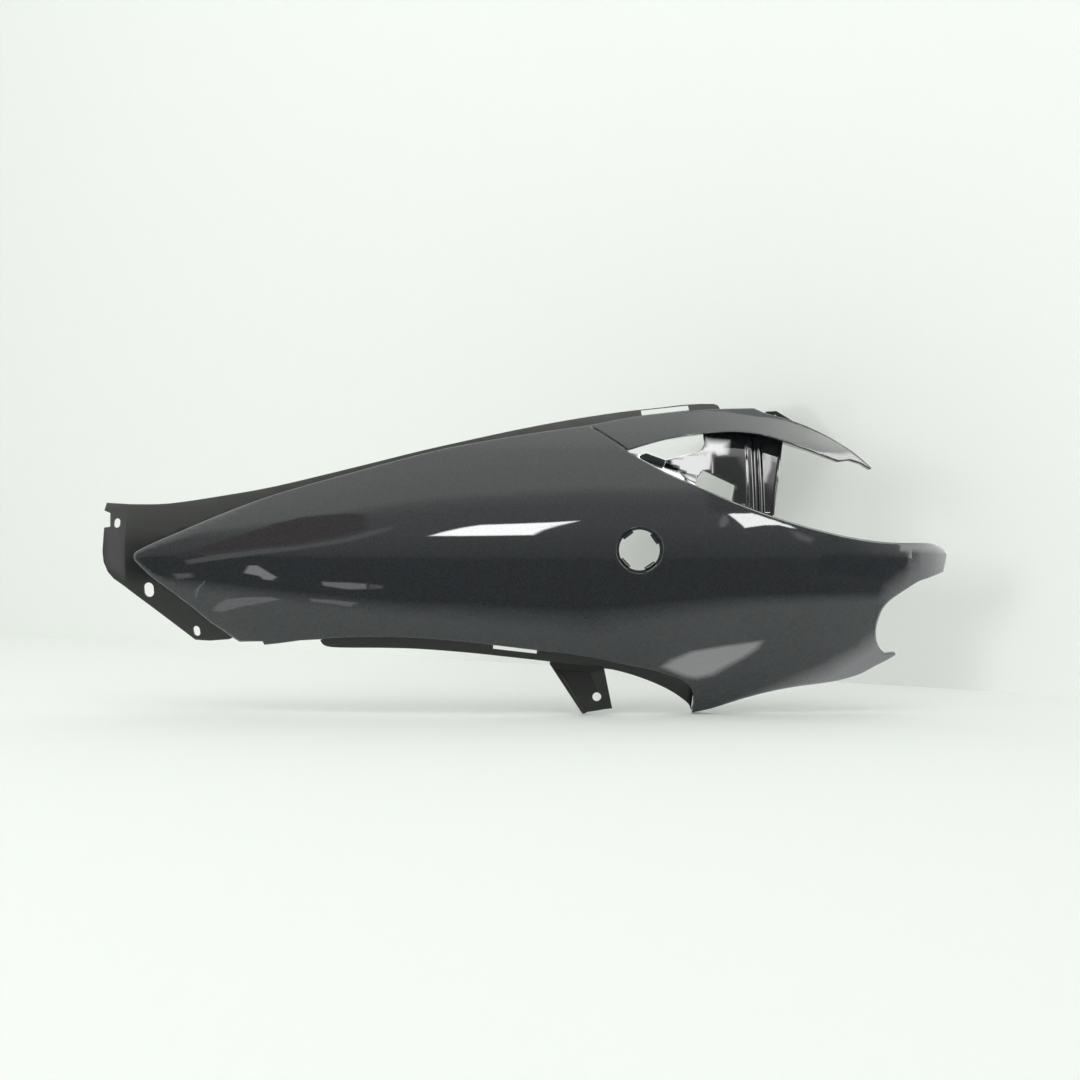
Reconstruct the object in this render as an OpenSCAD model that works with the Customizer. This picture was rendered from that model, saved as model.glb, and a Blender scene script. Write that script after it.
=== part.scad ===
// Right rear side cover of a scooter, moulded in one piece.
// X runs towards the tail, Z up, and the painted face looks towards -Y.
// The origin is the centre of the lower fixing hole, on the outer face of its tab.

/* [Overall size] */
// length from the front flange to the tail fin
panel_l = 811; // [740:1:880]
// height from the rear lower corner to the top tab
panel_h = 294; // [270:1:320]
// thickness of the moulded wall
wall = 2.6; // [2:0.1:3.5]

/* [Crown of the skin] */
// how far the crown stands out from the lower tab
crown_out = 36; // [28:1:44]
// height of the crown line above the lower fixing hole
crown_z = 134; // [126:1:142]
// where along the length the skin stands out most
crown_x = 40; // [0:1:80]
// how far the nose is swept in behind the crown
nose_sweep = 39; // [28:1:50]
// how far the tail is swept in behind the crown
tail_sweep = 46; // [36:1:56]
// radius of the section above the crown line
upper_r = 250; // [220:5:300]
// radius of the section below the crown line
lower_r = 285; // [250:5:340]
// radius of the section at the nose
nose_r = 100; // [80:5:140]
// length over which the section grows from the nose to its full radius
nose_run = 320; // [280:5:360]
// height above the crown line where the shoulder starts to roll in
shoulder_z = 95; // [85:1:105]
// how sharply the shoulder rolls in
shoulder_roll = 0.0063; // [0.004:0.0001:0.008]
// where the tail fin starts to roll in
fin_x = 290; // [280:1:300]
// how sharply the tail fin rolls in
fin_roll = 0.01; // [0.006:0.001:0.014]

/* [Edges and flanges] */
// how far the return lip reaches into the thickness of the flange
lip_over = 1.3; // [0.8:0.1:2]
// thickness of the return lip
lip_t = 2.6; // [2:0.1:3.5]
// how far the mounting flange is set back from the skin
flange_set = 10; // [7:0.5:12]
// extra slope of the front end of the flange
front_slope = 0.02; // [0:0.01:0.1]
// extra slope of the front tab beyond its fold
fold_slope = 0.2; // [0.1:0.01:0.4]

/* [Lamp opening] */
// how far the web in the lamp opening is set back from the skin
web_set = 20; // [16:0.5:26]
// height of the two vertical folds of the web
fold_h = 3; // [2:0.5:4]
// how far the free end of the web comes forward
tongue_rise = 12; // [6:1:14]

/* [Round seat] */
// diameter of the round seat in the skin
seat_d = 45; // [42:0.5:48]
// depth of the seat floor below the crown
seat_depth = 5; // [4:0.5:7]
// clear diameter of the seat floor
seat_bore_d = 37.4; // [34:0.2:39]
// how far the four snap tabs reach into the bore
tab_reach = 2.8; // [2:0.1:3.2]
// width of one snap tab
snap_w = 11; // [8:0.5:13]

/* [Fixing holes] */
// diameter of the hole in the lower tab
lower_hole_d = 8.2; // [6:0.1:10]
// width and height of the hole in the front tab
tab_slot = [6.6, 9]; // [5:0.1:12]
// width and height of the middle hole of the front flange
middle_slot = [9.6, 13.8]; // [8:0.1:16]
// width and height of the lower hole of the front flange
low_slot = [6.6, 9.8]; // [5:0.1:12]

/* [Hook slots] */
// length of the hook slot in the top flange
top_slot_l = 46; // [36:1:50]
// length of the hook slot in the lower flange
lower_slot_l = 41; // [34:1:46]
// width of both hook slots
slot_w = 5; // [4.2:0.1:5.4]

/* [Hidden] */
stretch_x = panel_l / 811;
stretch_z = panel_h / 294;
skin_col = [0.2, 0.21, 0.23];
// longer than the panel is deep
reach = 400;
// how far parts of the moulding run into each other
bite = 0.4;
// how far the flanges run in under the skin along its straight edges, and at the nose
under_skin = 3;
under_nose = [4, 1];

nose_x = -438 * stretch_x;
tail_x = 330 * stretch_x;
f_nose = nose_sweep / pow(crown_x - nose_x, 2);
f_tail = tail_sweep / pow(tail_x - crown_x, 2);

// where the front end of the flange starts its own slope, and where its tab is folded
slope_x = -360;
fold_x = -447;
// stretches that the lip beside the web is deeper on: start, length of its ramp, end, and again
deep_lip_x = [58, 20, 184, 16];
deep_lip_z = [140, 12, 252, 10];
// the free end of the web, and the stretch over which it comes forward
tongue_x = 62;
tongue_run = 50;
// the two upright folds of the web: start, length of its ramp, end, and again
web_folds = [[140, 3, 146, 3], [150, 2.5, 154, 3]];
// lengths and heights that the curved sheets are drawn between
sheet_x = [-446, 345];
sheet_z = [-24, 286];
flange_x = [-480, 130];
web_x = [58, 180];
web_z = [164, 256];

// edges of the painted skin, nose to tail, as length and height
top_edge = [[-438, 131], [-434.7, 137], [-415.3, 146.5], [-395.1, 154.9], [-349.6, 173.6],
    [-294.9, 192.3], [-220.5, 212.8], [-160.7, 228.6], [-116, 238], [-62.8, 247.1], [-7.4, 255.4],
    [32.4, 263.4], [60.1, 267], [86.9, 269.7], [117.8, 272.2], [150.7, 273.3]];
arm_top = [[159.7, 268.7], [185.7, 260.9], [212.4, 249], [240.4, 231.6], [259.5, 215.2]];
arm_low = [[257.4, 213.8], [248.8, 218.9], [237.3, 222.2]];
arm_under = [[226.4, 220.6], [198.9, 230.9], [172.7, 240.3], [151.3, 246.4], [123.9, 248.7],
    [96.3, 246.6], [64.1, 241.1], [28.4, 230.6]];
body_top = [[29.3, 229.1], [63.1, 210.3], [88.4, 199.1], [122, 184.3], [156.3, 171.4],
    [187.3, 161.7], [215.9, 154.4], [235.2, 150.2], [264.5, 146], [290.3, 144.6], [316.4, 144.5],
    [334.3, 139.7]];
fin_end = [[339.2, 134.9], [337.1, 126.2]];
arc_edge = [[333.8, 116.7], [315.5, 111.4], [303.1, 107.8], [285.9, 97.6], [275.1, 90.1],
    [268.5, 82.6], [264.5, 72.3], [262.8, 61.8], [264.1, 52.2], [267.5, 45.5], [272.9, 40.5]];
spur = [[282.9, 41.3], [284.1, 38.4]];
rear_low = [[276.4, 33.7], [263.9, 27.6], [249.6, 20], [230.3, 14.5], [210.9, 11.5], [191.6, 9.3],
    [172.6, 6.2], [153.6, 2], [134.9, -3.2], [106.8, -11.9]];
skin_low = [[89.9, -15.7], [91.1, 0.1], [86.9, 9.9], [79.1, 16.8], [67.7, 21.6], [48.9, 26.9],
    [20.9, 32.7], [-4.2, 37.4], [-34.8, 42.6], [-55.2, 44.9], [-97.9, 50], [-121.1, 52.8],
    [-166.7, 56.4], [-211.8, 57], [-247.9, 56]];
step_low = [[-259.4, 54.2], [-278.8, 53], [-300.4, 49.8], [-314.3, 48.1], [-315.9, 51.5],
    [-338.8, 50.7]];
nose_low = [[-346.2, 55.5], [-365.5, 68.4], [-383.6, 84.2], [-401.9, 98.4], [-420.6, 112.1],
    [-429, 120.1], [-436.7, 128]];

// outer line of the mounting flange, in front, above and below
flange_top = [[-445.3, 181.8], [-418.4, 181.7], [-395.8, 183.5], [-352.9, 189.7], [-302.7, 198.4],
    [-221.9, 217.4], [-169.1, 230.5], [-116.5, 242.5], [-72.3, 252.3], [-24.9, 261.6],
    [22.9, 269.4], [61.4, 274.1], [80.9, 276.8], [100.3, 278.3]];
flange_end = [[113.5, 278.3], [117.5, 276.8], [119, 273.5], [117.8, 270.2]];
flange_front = [[-471.1, 183.4], [-472.6, 175.7], [-465.9, 173.3], [-464.7, 160.3],
    [-471.2, 159.3], [-471.5, 147.4], [-472, 135.9], [-470.9, 126.4], [-466.7, 116.8],
    [-461, 110.6], [-449.6, 103], [-426.6, 85.2], [-408.5, 70.6], [-385.1, 51.4],
    [-370.9, 50.7], [-350.4, 52.5]];
flange_low = [[-260.8, 53.1], [-257.2, 47.9], [-243.8, 45.9], [-203.6, 46], [-167.7, 45.3],
    [-121.7, 42], [-88, 38.5], [-45.9, 33.8], [6.5, 27.1], [21.5, 24.3], [40.4, 18.5],
    [59.4, 10.6], [73.8, 2.7], [86.6, -7.2], [89.9, -14]];

function ramp(t) = let (u = max(0, min(1, t))) u * u * (3 - 2 * u);
// one on a stretch and nothing off it, with a ramp at each end
function on_stretch(t, s) = ramp((t - s[0]) / s[1]) - ramp((t - s[2]) / s[3]);
function sized(points) = [for (p = points) [p[0] * stretch_x, p[1] * stretch_z]];

// depth of the outer face of the skin at a length and height
function skin_y(x, z) =
    let (rise = z - crown_z * stretch_z)
    let (grown = ramp((x - nose_x) / (nose_run * stretch_x)))
    let (r = nose_r + ((rise > 0 ? upper_r : lower_r) - nose_r) * grown)
    -crown_out
    + (x < crown_x ? f_nose : f_tail) * pow(x - crown_x, 2)
    + fin_roll * pow(max(0, x - fin_x * stretch_x), 2)
    + rise * rise / (2 * r)
    + shoulder_roll * pow(max(0, rise - shoulder_z * stretch_z), 2);

// the flange slopes in towards the front and is folded once more at its tab
function flange_y(x, z) = skin_y(x, z) + flange_set
    + front_slope * max(0, slope_x * stretch_x - x)
    + fold_slope * max(0, fold_x * stretch_x - x);

// the lip ends inside the flange, and goes deeper beside the web
function lip_y(x, z) = flange_y(x, z) + lip_over
    + (web_set - flange_set) * on_stretch(x / stretch_x, deep_lip_x)
        * on_stretch(z / stretch_z, deep_lip_z);

// the web stays behind the skin, with two folds, and its free end comes forward
function web_y(x, z) = skin_y(x, z) + web_set
    - tongue_rise * (1 - ramp((x / stretch_x - tongue_x) / tongue_run))
    - fold_h * (on_stretch(x / stretch_x, web_folds[0]) + on_stretch(x / stretch_x, web_folds[1]));

// a smooth run of points through the given ones
function curve_at(a, b, c, d, t) = 0.5 * (2 * b + (c - a) * t
    + (2 * a - 5 * b + 4 * c - d) * t * t + (3 * b - a - 3 * c + d) * t * t * t);
function smooth_run(p, n) = concat([for (i = [0:len(p) - 2]) for (k = [0:n - 1])
    curve_at(p[max(i - 1, 0)], p[i], p[i + 1], p[min(i + 2, len(p) - 1)], k / n)], [p[len(p) - 1]]);

// web in the lamp opening, its rim, the ledge under it and the parts beside it
web_line = [[64, 219.2], [64.1, 222.1], [83.1, 227.4], [97.5, 231.8], [102.1, 238.1], [101.1, 245],
    [101.6, 250], [122.8, 251.5], [154.5, 249.3], [177.3, 242.6], [176.1, 237.7], [170.3, 203.9],
    [165.5, 173.6], [164.9, 168.5], [143.1, 173.6], [128.1, 181], [126.3, 185.8], [129, 198.5],
    [99.7, 212.6], [92.8, 204.6], [79.8, 211.2]];
web_rim = [[174.6, 241], [168.4, 203.8], [163.2, 170.5]];
rim_h = 5;
rim_t = 2.4;
ledge_out = [[31, 228], [44, 220.7], [63.2, 210.3], [76.1, 204.3], [90, 198]];
ledge_in = [[36, 228.8], [49.5, 223.6], [63.6, 219.4], [77.6, 212.2], [93, 205]];
ledge_depth = 10;
ledge_set = 0.8;
clip_line = [[38.5, 225.6], [45.4, 228.5], [63.8, 221.8], [60.9, 214], [48.9, 217.9]];
clip_set = 5;
clip_depth = 10;
hook_line = [[158.5, 266], [162.6, 270.2], [172.5, 270.8], [187.7, 261.7], [183.3, 257.6],
    [176, 262.6], [171.4, 267.6], [168, 264]];
hook_set = 3;
hook_depth = 5;

// round seat
seat_at = [38.1 * stretch_x, 138.2 * stretch_z];
tab_turns = [36, 127, 223, 304];

// lower tab
tab_line = [[-44.4, 32.4], [-13.3, -15.2], [6, -12], [5.8, -5.8], [-5.5, 25.2], [-4, 38], [-34, 41]];
tab_root = [[-44.4, 32.4], [-41, 27.5], [-5, 24], [6.8, 25.6], [6.8, 34], [-4, 38], [-40, 41]];
tab_left = [[-44.2, 31.4], [-13.2, -15.8]];
tab_fold = [[-6.5, 25.6], [5, -12.1]];
tab_right = [[6.8, 27], [14.3, -10.5]];
tab_step_at = [-20, 32];
tab_rib = 3.4;
tab_rib_t = 3.4;
tab_rib_rise = 1;
tab_lip = 4;

// moulded groove from the top edge to the tip of the lamp opening
groove_line = [[-4, 252.8], [2.8, 249], [11.9, 242.6], [21.1, 236.4], [27.2, 231.4]];
groove_w = 1.1;
groove_depth = 0.9;

// places of the holes and slots
tab_slot_at = [-457.5, 163.6];
middle_slot_at = [-425.4, 100.1];
low_slot_at = [-382.2, 60.3];
top_slot_at = [66, 271.2];
top_slot_turn = 6.8;
lower_slot_at = [-76.7, 46];
lower_slot_turn = -6.4;

// grids that the curved faces are drawn on
skin_xs = sized_x(steps(sheet_x[0], sheet_x[1], 52));
skin_zs = sized_z(concat(steps(sheet_z[0], crown_z, 11), steps(crown_z + 14, crown_z + shoulder_z, 6),
    steps(crown_z + shoulder_z + 9, sheet_z[1], 5)));
lip_xs = sized_x(steps(sheet_x[0], sheet_x[1], 30));
lip_zs = sized_z(steps(sheet_z[0], sheet_z[1], 12));
flange_xs = sized_x(concat(steps(flange_x[0], fold_x, 2), steps(fold_x + 18, flange_x[1], 27)));
flange_zs = sized_z(steps(sheet_z[0], sheet_z[1], 13));
fold_xs = [for (f = web_folds) for (x = [f[0], f[0] + f[1], f[2], f[2] + f[3]]) x];
web_xs = sized_x(concat(steps(web_x[0], fold_xs[0], 7), [for (i = [1:7]) fold_xs[i]],
    steps(fold_xs[7] + 11, web_x[1], 1)));
web_zs = sized_z(steps(web_z[0], web_z[1], 8));

function rev(a) = [for (i = [len(a) - 1:-1:0]) a[i]];
function moved(points, by) = [for (p = points) p + by];
function steps(a, b, n) = [for (i = [0:n]) a + (b - a) * i / n];
function sized_x(a) = [for (x = a) x * stretch_x];
function sized_z(a) = [for (z = a) z * stretch_z];
function skin_point(p, behind) = [p[0], skin_y(p[0], p[1]) + behind, p[1]];

// outline of the painted skin
skin_line = sized(concat(
    smooth_run(top_edge, 2), smooth_run(arm_top, 2), arm_low, smooth_run(arm_under, 2),
    smooth_run(body_top, 2), fin_end, smooth_run(arc_edge, 2), spur, rear_low, skin_low,
    step_low, nose_low));

// outlines of the flange in front and above, and of the one below
flange_line = sized(concat(flange_front, moved(nose_low, under_nose),
    moved([for (i = [1:len(top_edge) - 2]) top_edge[i]], [0, -under_skin]), rev(flange_end), rev(flange_top)));
lower_line = sized(concat(flange_low, moved(skin_low, [0, under_skin])));

// a sheet between two depths over a grid of lengths and heights
module sheet(xs, zs, near, far) {
    nx = len(xs);
    nz = len(zs);
    n = nx * nz;
    function at(s, i, j) = s * n + i * nz + j;
    polyhedron(
        points = concat(
            [for (i = [0:nx - 1]) for (j = [0:nz - 1]) [xs[i], near[i][j], zs[j]]],
            [for (i = [0:nx - 1]) for (j = [0:nz - 1]) [xs[i], far[i][j], zs[j]]]),
        faces = concat(
            [for (i = [0:nx - 2]) for (j = [0:nz - 2]) for (f = [
                [at(0, i, j), at(0, i, j + 1), at(0, i + 1, j + 1)],
                [at(0, i, j), at(0, i + 1, j + 1), at(0, i + 1, j)],
                [at(1, i, j), at(1, i + 1, j + 1), at(1, i, j + 1)],
                [at(1, i, j), at(1, i + 1, j), at(1, i + 1, j + 1)]]) f],
            [for (i = [0:nx - 2]) for (f = [
                [at(0, i, 0), at(0, i + 1, 0), at(1, i + 1, 0)],
                [at(0, i, 0), at(1, i + 1, 0), at(1, i, 0)],
                [at(0, i, nz - 1), at(1, i + 1, nz - 1), at(0, i + 1, nz - 1)],
                [at(0, i, nz - 1), at(1, i, nz - 1), at(1, i + 1, nz - 1)]]) f],
            [for (j = [0:nz - 2]) for (f = [
                [at(0, 0, j), at(1, 0, j + 1), at(0, 0, j + 1)],
                [at(0, 0, j), at(1, 0, j), at(1, 0, j + 1)],
                [at(0, nx - 1, j), at(0, nx - 1, j + 1), at(1, nx - 1, j + 1)],
                [at(0, nx - 1, j), at(1, nx - 1, j + 1), at(1, nx - 1, j)]]) f]));
}

// a bar through four-cornered sections
module rail(sections) {
    n = len(sections);
    polyhedron(
        points = [for (s = sections) for (p = s) p],
        faces = concat(
            [[0, 2, 1], [0, 3, 2]],
            [for (i = [0:n - 2]) for (k = [0:3]) for (f = [
                [4 * i + k, 4 * i + (k + 1) % 4, 4 * i + 4 + k],
                [4 * i + 4 + k, 4 * i + (k + 1) % 4, 4 * i + 4 + (k + 1) % 4]]) f],
            [[4 * n - 4, 4 * n - 3, 4 * n - 2], [4 * n - 4, 4 * n - 2, 4 * n - 1]]));
}

// a flat outline drawn from one depth to another
module through(points, from, to) {
    translate([0, to, 0])
        rotate([90, 0, 0])
            linear_extrude(to - from)
                polygon(points);
}

// an upright hole with round ends, cut right through
module slot_cut(at, size) {
    half = (size[1] - size[0]) / 2;
    translate([at[0], 0, at[1]])
        rotate([90, 0, 0])
            union() {
                translate([0, half, 0])
                    cylinder(h = reach, d = size[0], center = true, $fn = 48);
                translate([0, -half, 0])
                    cylinder(h = reach, d = size[0], center = true, $fn = 48);
                cube([size[0], 2 * half, reach], center = true);
            }
}

// a long hook slot, turned to follow its flange
module hook_cut(at, length, turn) {
    translate([at[0], 0, at[1]])
        rotate([0, -turn, 0])
            cube([length, reach, slot_w], center = true);
}

module skin() {
    intersection() {
        sheet(skin_xs, skin_zs,
            [for (x = skin_xs) [for (z = skin_zs) skin_y(x, z)]],
            [for (x = skin_xs) [for (z = skin_zs) skin_y(x, z) + wall]]);
        through(skin_line, -reach / 2, reach / 2);
    }
}

module lip() {
    difference() {
        intersection() {
            sheet(lip_xs, lip_zs,
                [for (x = lip_xs) [for (z = lip_zs) skin_y(x, z) + wall - 2 * bite]],
                [for (x = lip_xs) [for (z = lip_zs) lip_y(x, z)]]);
            through(skin_line, -reach / 2, reach / 2);
        }
        translate([0, reach, 0])
            rotate([90, 0, 0])
                linear_extrude(2 * reach)
                    offset(delta = -lip_t)
                        polygon(skin_line);
    }
}

module flange() {
    intersection() {
        sheet(flange_xs, flange_zs,
            [for (x = flange_xs) [for (z = flange_zs) flange_y(x, z)]],
            [for (x = flange_xs) [for (z = flange_zs) flange_y(x, z) + wall]]);
        union() {
            through(flange_line, -reach / 2, reach / 2);
            through(lower_line, -reach / 2, reach / 2);
        }
    }
}

module web() {
    intersection() {
        sheet(web_xs, web_zs,
            [for (x = web_xs) [for (z = web_zs) web_y(x, z)]],
            [for (x = web_xs) [for (z = web_zs) web_y(x, z) + wall]]);
        through(sized(web_line), -reach / 2, reach / 2);
    }
    rail([for (p = sized(web_rim)) let (y = web_y(p[0], p[1])) [
        [p[0], y - rim_h, p[1]],
        [p[0] + rim_t, y - rim_h, p[1]],
        [p[0] + rim_t, y + wall, p[1]],
        [p[0], y + wall, p[1]]]]);
}

// the sloping ledge along the lower edge of the lamp opening
module ledge() {
    rail([for (i = [0:len(ledge_out) - 1])
        let (a = skin_point(sized([ledge_out[i]])[0], ledge_set))
        let (b = skin_point(sized([ledge_in[i]])[0], ledge_depth)) [
            a, b, b + [0, wall, 0], a + [0, wall, 0]]]);
}

// a recessed round seat with four snap tabs
module seat() {
    front = skin_y(seat_at[0], seat_at[1]);
    translate([seat_at[0], front, seat_at[1]])
        rotate([-90, 0, 0]) {
            difference() {
                translate([0, 0, wall / 2])
                    cylinder(h = seat_depth + wall / 2, d = seat_d + 2 * wall, $fn = 96);
                cylinder(h = seat_depth, d = seat_d, $fn = 96);
                cylinder(h = seat_depth + 2 * wall, d = seat_bore_d, $fn = 96);
            }
            for (turn = tab_turns)
                rotate([0, 0, -turn])
                    translate([seat_bore_d / 2 - tab_reach, -snap_w / 2, seat_depth])
                        cube([tab_reach + wall / 2, snap_w, wall]);
        }
}

// the channel-shaped tab that carries the lower fixing hole
module lower_tab() {
    through(sized(tab_line), 0, wall);
    step_at = sized([tab_step_at])[0];
    through(sized(tab_root), flange_y(step_at[0], step_at[1]) + bite, wall);
    rail([for (p = sized(tab_left)) [
        [p[0] - bite, -tab_rib, p[1]],
        [p[0] + tab_rib_t, -tab_rib, p[1] + tab_rib_rise],
        [p[0] + tab_rib_t, wall - bite, p[1] + tab_rib_rise],
        [p[0] - bite, wall - bite, p[1]]]]);
    rail([for (i = [0:len(tab_fold) - 1])
        let (a = sized([tab_fold[i]])[0])
        let (b = sized([tab_right[i]])[0]) [
            [a[0] - 2 * bite, bite, a[1]],
            [b[0], -tab_lip, b[1]],
            [b[0], wall - tab_lip, b[1]],
            [a[0] - 2 * bite, wall - bite, a[1]]]]);
}

module clip() {
    for (part = [[sized(clip_line), clip_set, clip_depth], [sized(hook_line), hook_set, hook_depth]]) {
        y = skin_y(part[0][2][0], part[0][2][1]) + part[1];
        through(part[0], y, y + part[2]);
    }
}

module groove() {
    rail([for (p = sized(groove_line)) let (y = skin_y(p[0], p[1])) [
        [p[0] - groove_w / 2, y - groove_w, p[1] - groove_w / 2],
        [p[0] + groove_w / 2, y - groove_w, p[1] + groove_w / 2],
        [p[0] + groove_w / 2, y + groove_depth, p[1] + groove_w / 2],
        [p[0] - groove_w / 2, y + groove_depth, p[1] - groove_w / 2]]]);
}

module side_panel() {
    color(skin_col)
        difference() {
            union() {
                difference() {
                    union() {
                        skin();
                        lip();
                        flange();
                    }
                    translate([seat_at[0], 0, seat_at[1]])
                        rotate([90, 0, 0])
                            cylinder(h = reach, d = seat_d, center = true, $fn = 96);
                }
                web();
                ledge();
                seat();
                lower_tab();
                clip();
            }
            rotate([90, 0, 0])
                cylinder(h = reach, d = lower_hole_d, center = true, $fn = 48);
            slot_cut(sized([tab_slot_at])[0], tab_slot);
            slot_cut(sized([middle_slot_at])[0], middle_slot);
            slot_cut(sized([low_slot_at])[0], low_slot);
            hook_cut(sized([top_slot_at])[0], top_slot_l, top_slot_turn);
            hook_cut(sized([lower_slot_at])[0], lower_slot_l, lower_slot_turn);
            groove();
        }
}

side_panel();
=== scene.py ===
"""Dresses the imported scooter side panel: one gloss painted moulding with its flanges, web and seat.

The object is rebuilt at a finer grain than the solids have, from the same depth rules and the same
outlines, so that its gloss paint shows clean reflections. Lengths in the tables are in millimetres
and are turned into metres where a mesh is made.
"""

import logging
import math
from dataclasses import dataclass, field
from enum import Enum
from typing import Callable, Iterable, Sequence

import bmesh
import bpy
import numpy as np
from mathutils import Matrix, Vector


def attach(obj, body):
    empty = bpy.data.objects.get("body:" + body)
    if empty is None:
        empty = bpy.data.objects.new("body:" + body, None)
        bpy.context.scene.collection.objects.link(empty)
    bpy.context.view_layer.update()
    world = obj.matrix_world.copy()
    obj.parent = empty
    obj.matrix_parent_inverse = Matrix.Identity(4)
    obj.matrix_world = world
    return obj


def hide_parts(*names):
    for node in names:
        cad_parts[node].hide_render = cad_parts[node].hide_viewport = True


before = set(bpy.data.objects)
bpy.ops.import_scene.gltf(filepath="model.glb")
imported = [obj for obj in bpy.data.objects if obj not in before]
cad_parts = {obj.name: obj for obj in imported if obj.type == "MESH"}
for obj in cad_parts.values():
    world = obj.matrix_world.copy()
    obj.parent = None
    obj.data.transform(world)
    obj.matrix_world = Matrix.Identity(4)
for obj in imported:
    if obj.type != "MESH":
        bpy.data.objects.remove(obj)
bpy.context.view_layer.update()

logging.basicConfig(level=logging.INFO, format="%(message)s")
log = logging.getLogger("side_panel")

MM = 0.001
NODE = "side_panel"

Point = tuple[float, float]
Depth = Callable[[np.ndarray, np.ndarray], np.ndarray]


# ---------------------------------------------------------------- outlines

TOP_EDGE = [(-438, 131), (-434.7, 137), (-415.3, 146.5), (-395.1, 154.9), (-349.6, 173.6),
            (-294.9, 192.3), (-220.5, 212.8), (-160.7, 228.6), (-116, 238), (-62.8, 247.1),
            (-7.4, 255.4), (32.4, 263.4), (60.1, 267), (86.9, 269.7), (117.8, 272.2), (150.7, 273.3)]
ARM_TOP = [(159.7, 268.7), (185.7, 260.9), (212.4, 249), (240.4, 231.6), (259.5, 215.2)]
ARM_LOW = [(257.4, 213.8), (248.8, 218.9), (237.3, 222.2)]
ARM_UNDER = [(226.4, 220.6), (198.9, 230.9), (172.7, 240.3), (151.3, 246.4), (123.9, 248.7),
             (96.3, 246.6), (64.1, 241.1), (28.4, 230.6)]
BODY_TOP = [(29.3, 229.1), (63.1, 210.3), (88.4, 199.1), (122, 184.3), (156.3, 171.4),
            (187.3, 161.7), (215.9, 154.4), (235.2, 150.2), (264.5, 146), (290.3, 144.6),
            (316.4, 144.5), (334.3, 139.7)]
FIN_END = [(339.2, 134.9), (337.1, 126.2)]
ARC_EDGE = [(333.8, 116.7), (315.5, 111.4), (303.1, 107.8), (285.9, 97.6), (275.1, 90.1),
            (268.5, 82.6), (264.5, 72.3), (262.8, 61.8), (264.1, 52.2), (267.5, 45.5), (272.9, 40.5)]
SPUR = [(282.9, 41.3), (284.1, 38.4)]
REAR_LOW = [(276.4, 33.7), (263.9, 27.6), (249.6, 20), (230.3, 14.5), (210.9, 11.5), (191.6, 9.3),
            (172.6, 6.2), (153.6, 2), (134.9, -3.2), (106.8, -11.9)]
SKIN_LOW = [(89.9, -15.7), (91.1, 0.1), (86.9, 9.9), (79.1, 16.8), (67.7, 21.6), (48.9, 26.9),
            (20.9, 32.7), (-4.2, 37.4), (-34.8, 42.6), (-55.2, 44.9), (-97.9, 50), (-121.1, 52.8),
            (-166.7, 56.4), (-211.8, 57), (-247.9, 56)]
STEP_LOW = [(-259.4, 54.2), (-278.8, 53), (-300.4, 49.8), (-314.3, 48.1), (-315.9, 51.5),
            (-338.8, 50.7)]
NOSE_LOW = [(-346.2, 55.5), (-365.5, 68.4), (-383.6, 84.2), (-401.9, 98.4), (-420.6, 112.1),
            (-429, 120.1), (-436.7, 128)]

FLANGE_TOP = [(-445.3, 181.8), (-418.4, 181.7), (-395.8, 183.5), (-352.9, 189.7), (-302.7, 198.4),
              (-221.9, 217.4), (-169.1, 230.5), (-116.5, 242.5), (-72.3, 252.3), (-24.9, 261.6),
              (22.9, 269.4), (61.4, 274.1), (80.9, 276.8), (100.3, 278.3)]
FLANGE_END = [(113.5, 278.3), (117.5, 276.8), (119, 273.5), (117.8, 270.2)]
FLANGE_FRONT = [(-471.1, 183.4), (-472.6, 175.7), (-465.9, 173.3), (-464.7, 160.3),
                (-471.2, 159.3), (-471.5, 147.4), (-472, 135.9), (-470.9, 126.4), (-466.7, 116.8),
                (-461, 110.6), (-449.6, 103), (-426.6, 85.2), (-408.5, 70.6), (-385.1, 51.4),
                (-370.9, 50.7), (-350.4, 52.5)]
FLANGE_LOW = [(-260.8, 53.1), (-257.2, 47.9), (-243.8, 45.9), (-203.6, 46), (-167.7, 45.3),
              (-121.7, 42), (-88, 38.5), (-45.9, 33.8), (6.5, 27.1), (21.5, 24.3), (40.4, 18.5),
              (59.4, 10.6), (73.8, 2.7), (86.6, -7.2), (89.9, -14)]

WEB_LINE = [(64, 219.2), (64.1, 222.1), (83.1, 227.4), (97.5, 231.8), (102.1, 238.1), (101.1, 245),
            (101.6, 250), (122.8, 251.5), (154.5, 249.3), (177.3, 242.6), (176.1, 237.7),
            (170.3, 203.9), (165.5, 173.6), (164.9, 168.5), (143.1, 173.6), (128.1, 181),
            (126.3, 185.8), (129, 198.5), (99.7, 212.6), (92.8, 204.6), (79.8, 211.2)]
WEB_RIM = [(174.6, 241), (168.4, 203.8), (163.2, 170.5)]
LEDGE_OUT = [(31, 228), (44, 220.7), (63.2, 210.3), (76.1, 204.3), (90, 198)]
LEDGE_IN = [(36, 228.8), (49.5, 223.6), (63.6, 219.4), (77.6, 212.2), (93, 205)]
CLIP_LINE = [(38.5, 225.6), (45.4, 228.5), (63.8, 221.8), (60.9, 214), (48.9, 217.9)]
HOOK_LINE = [(158.5, 266), (162.6, 270.2), (172.5, 270.8), (187.7, 261.7), (183.3, 257.6),
             (176, 262.6), (171.4, 267.6), (168, 264)]

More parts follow.
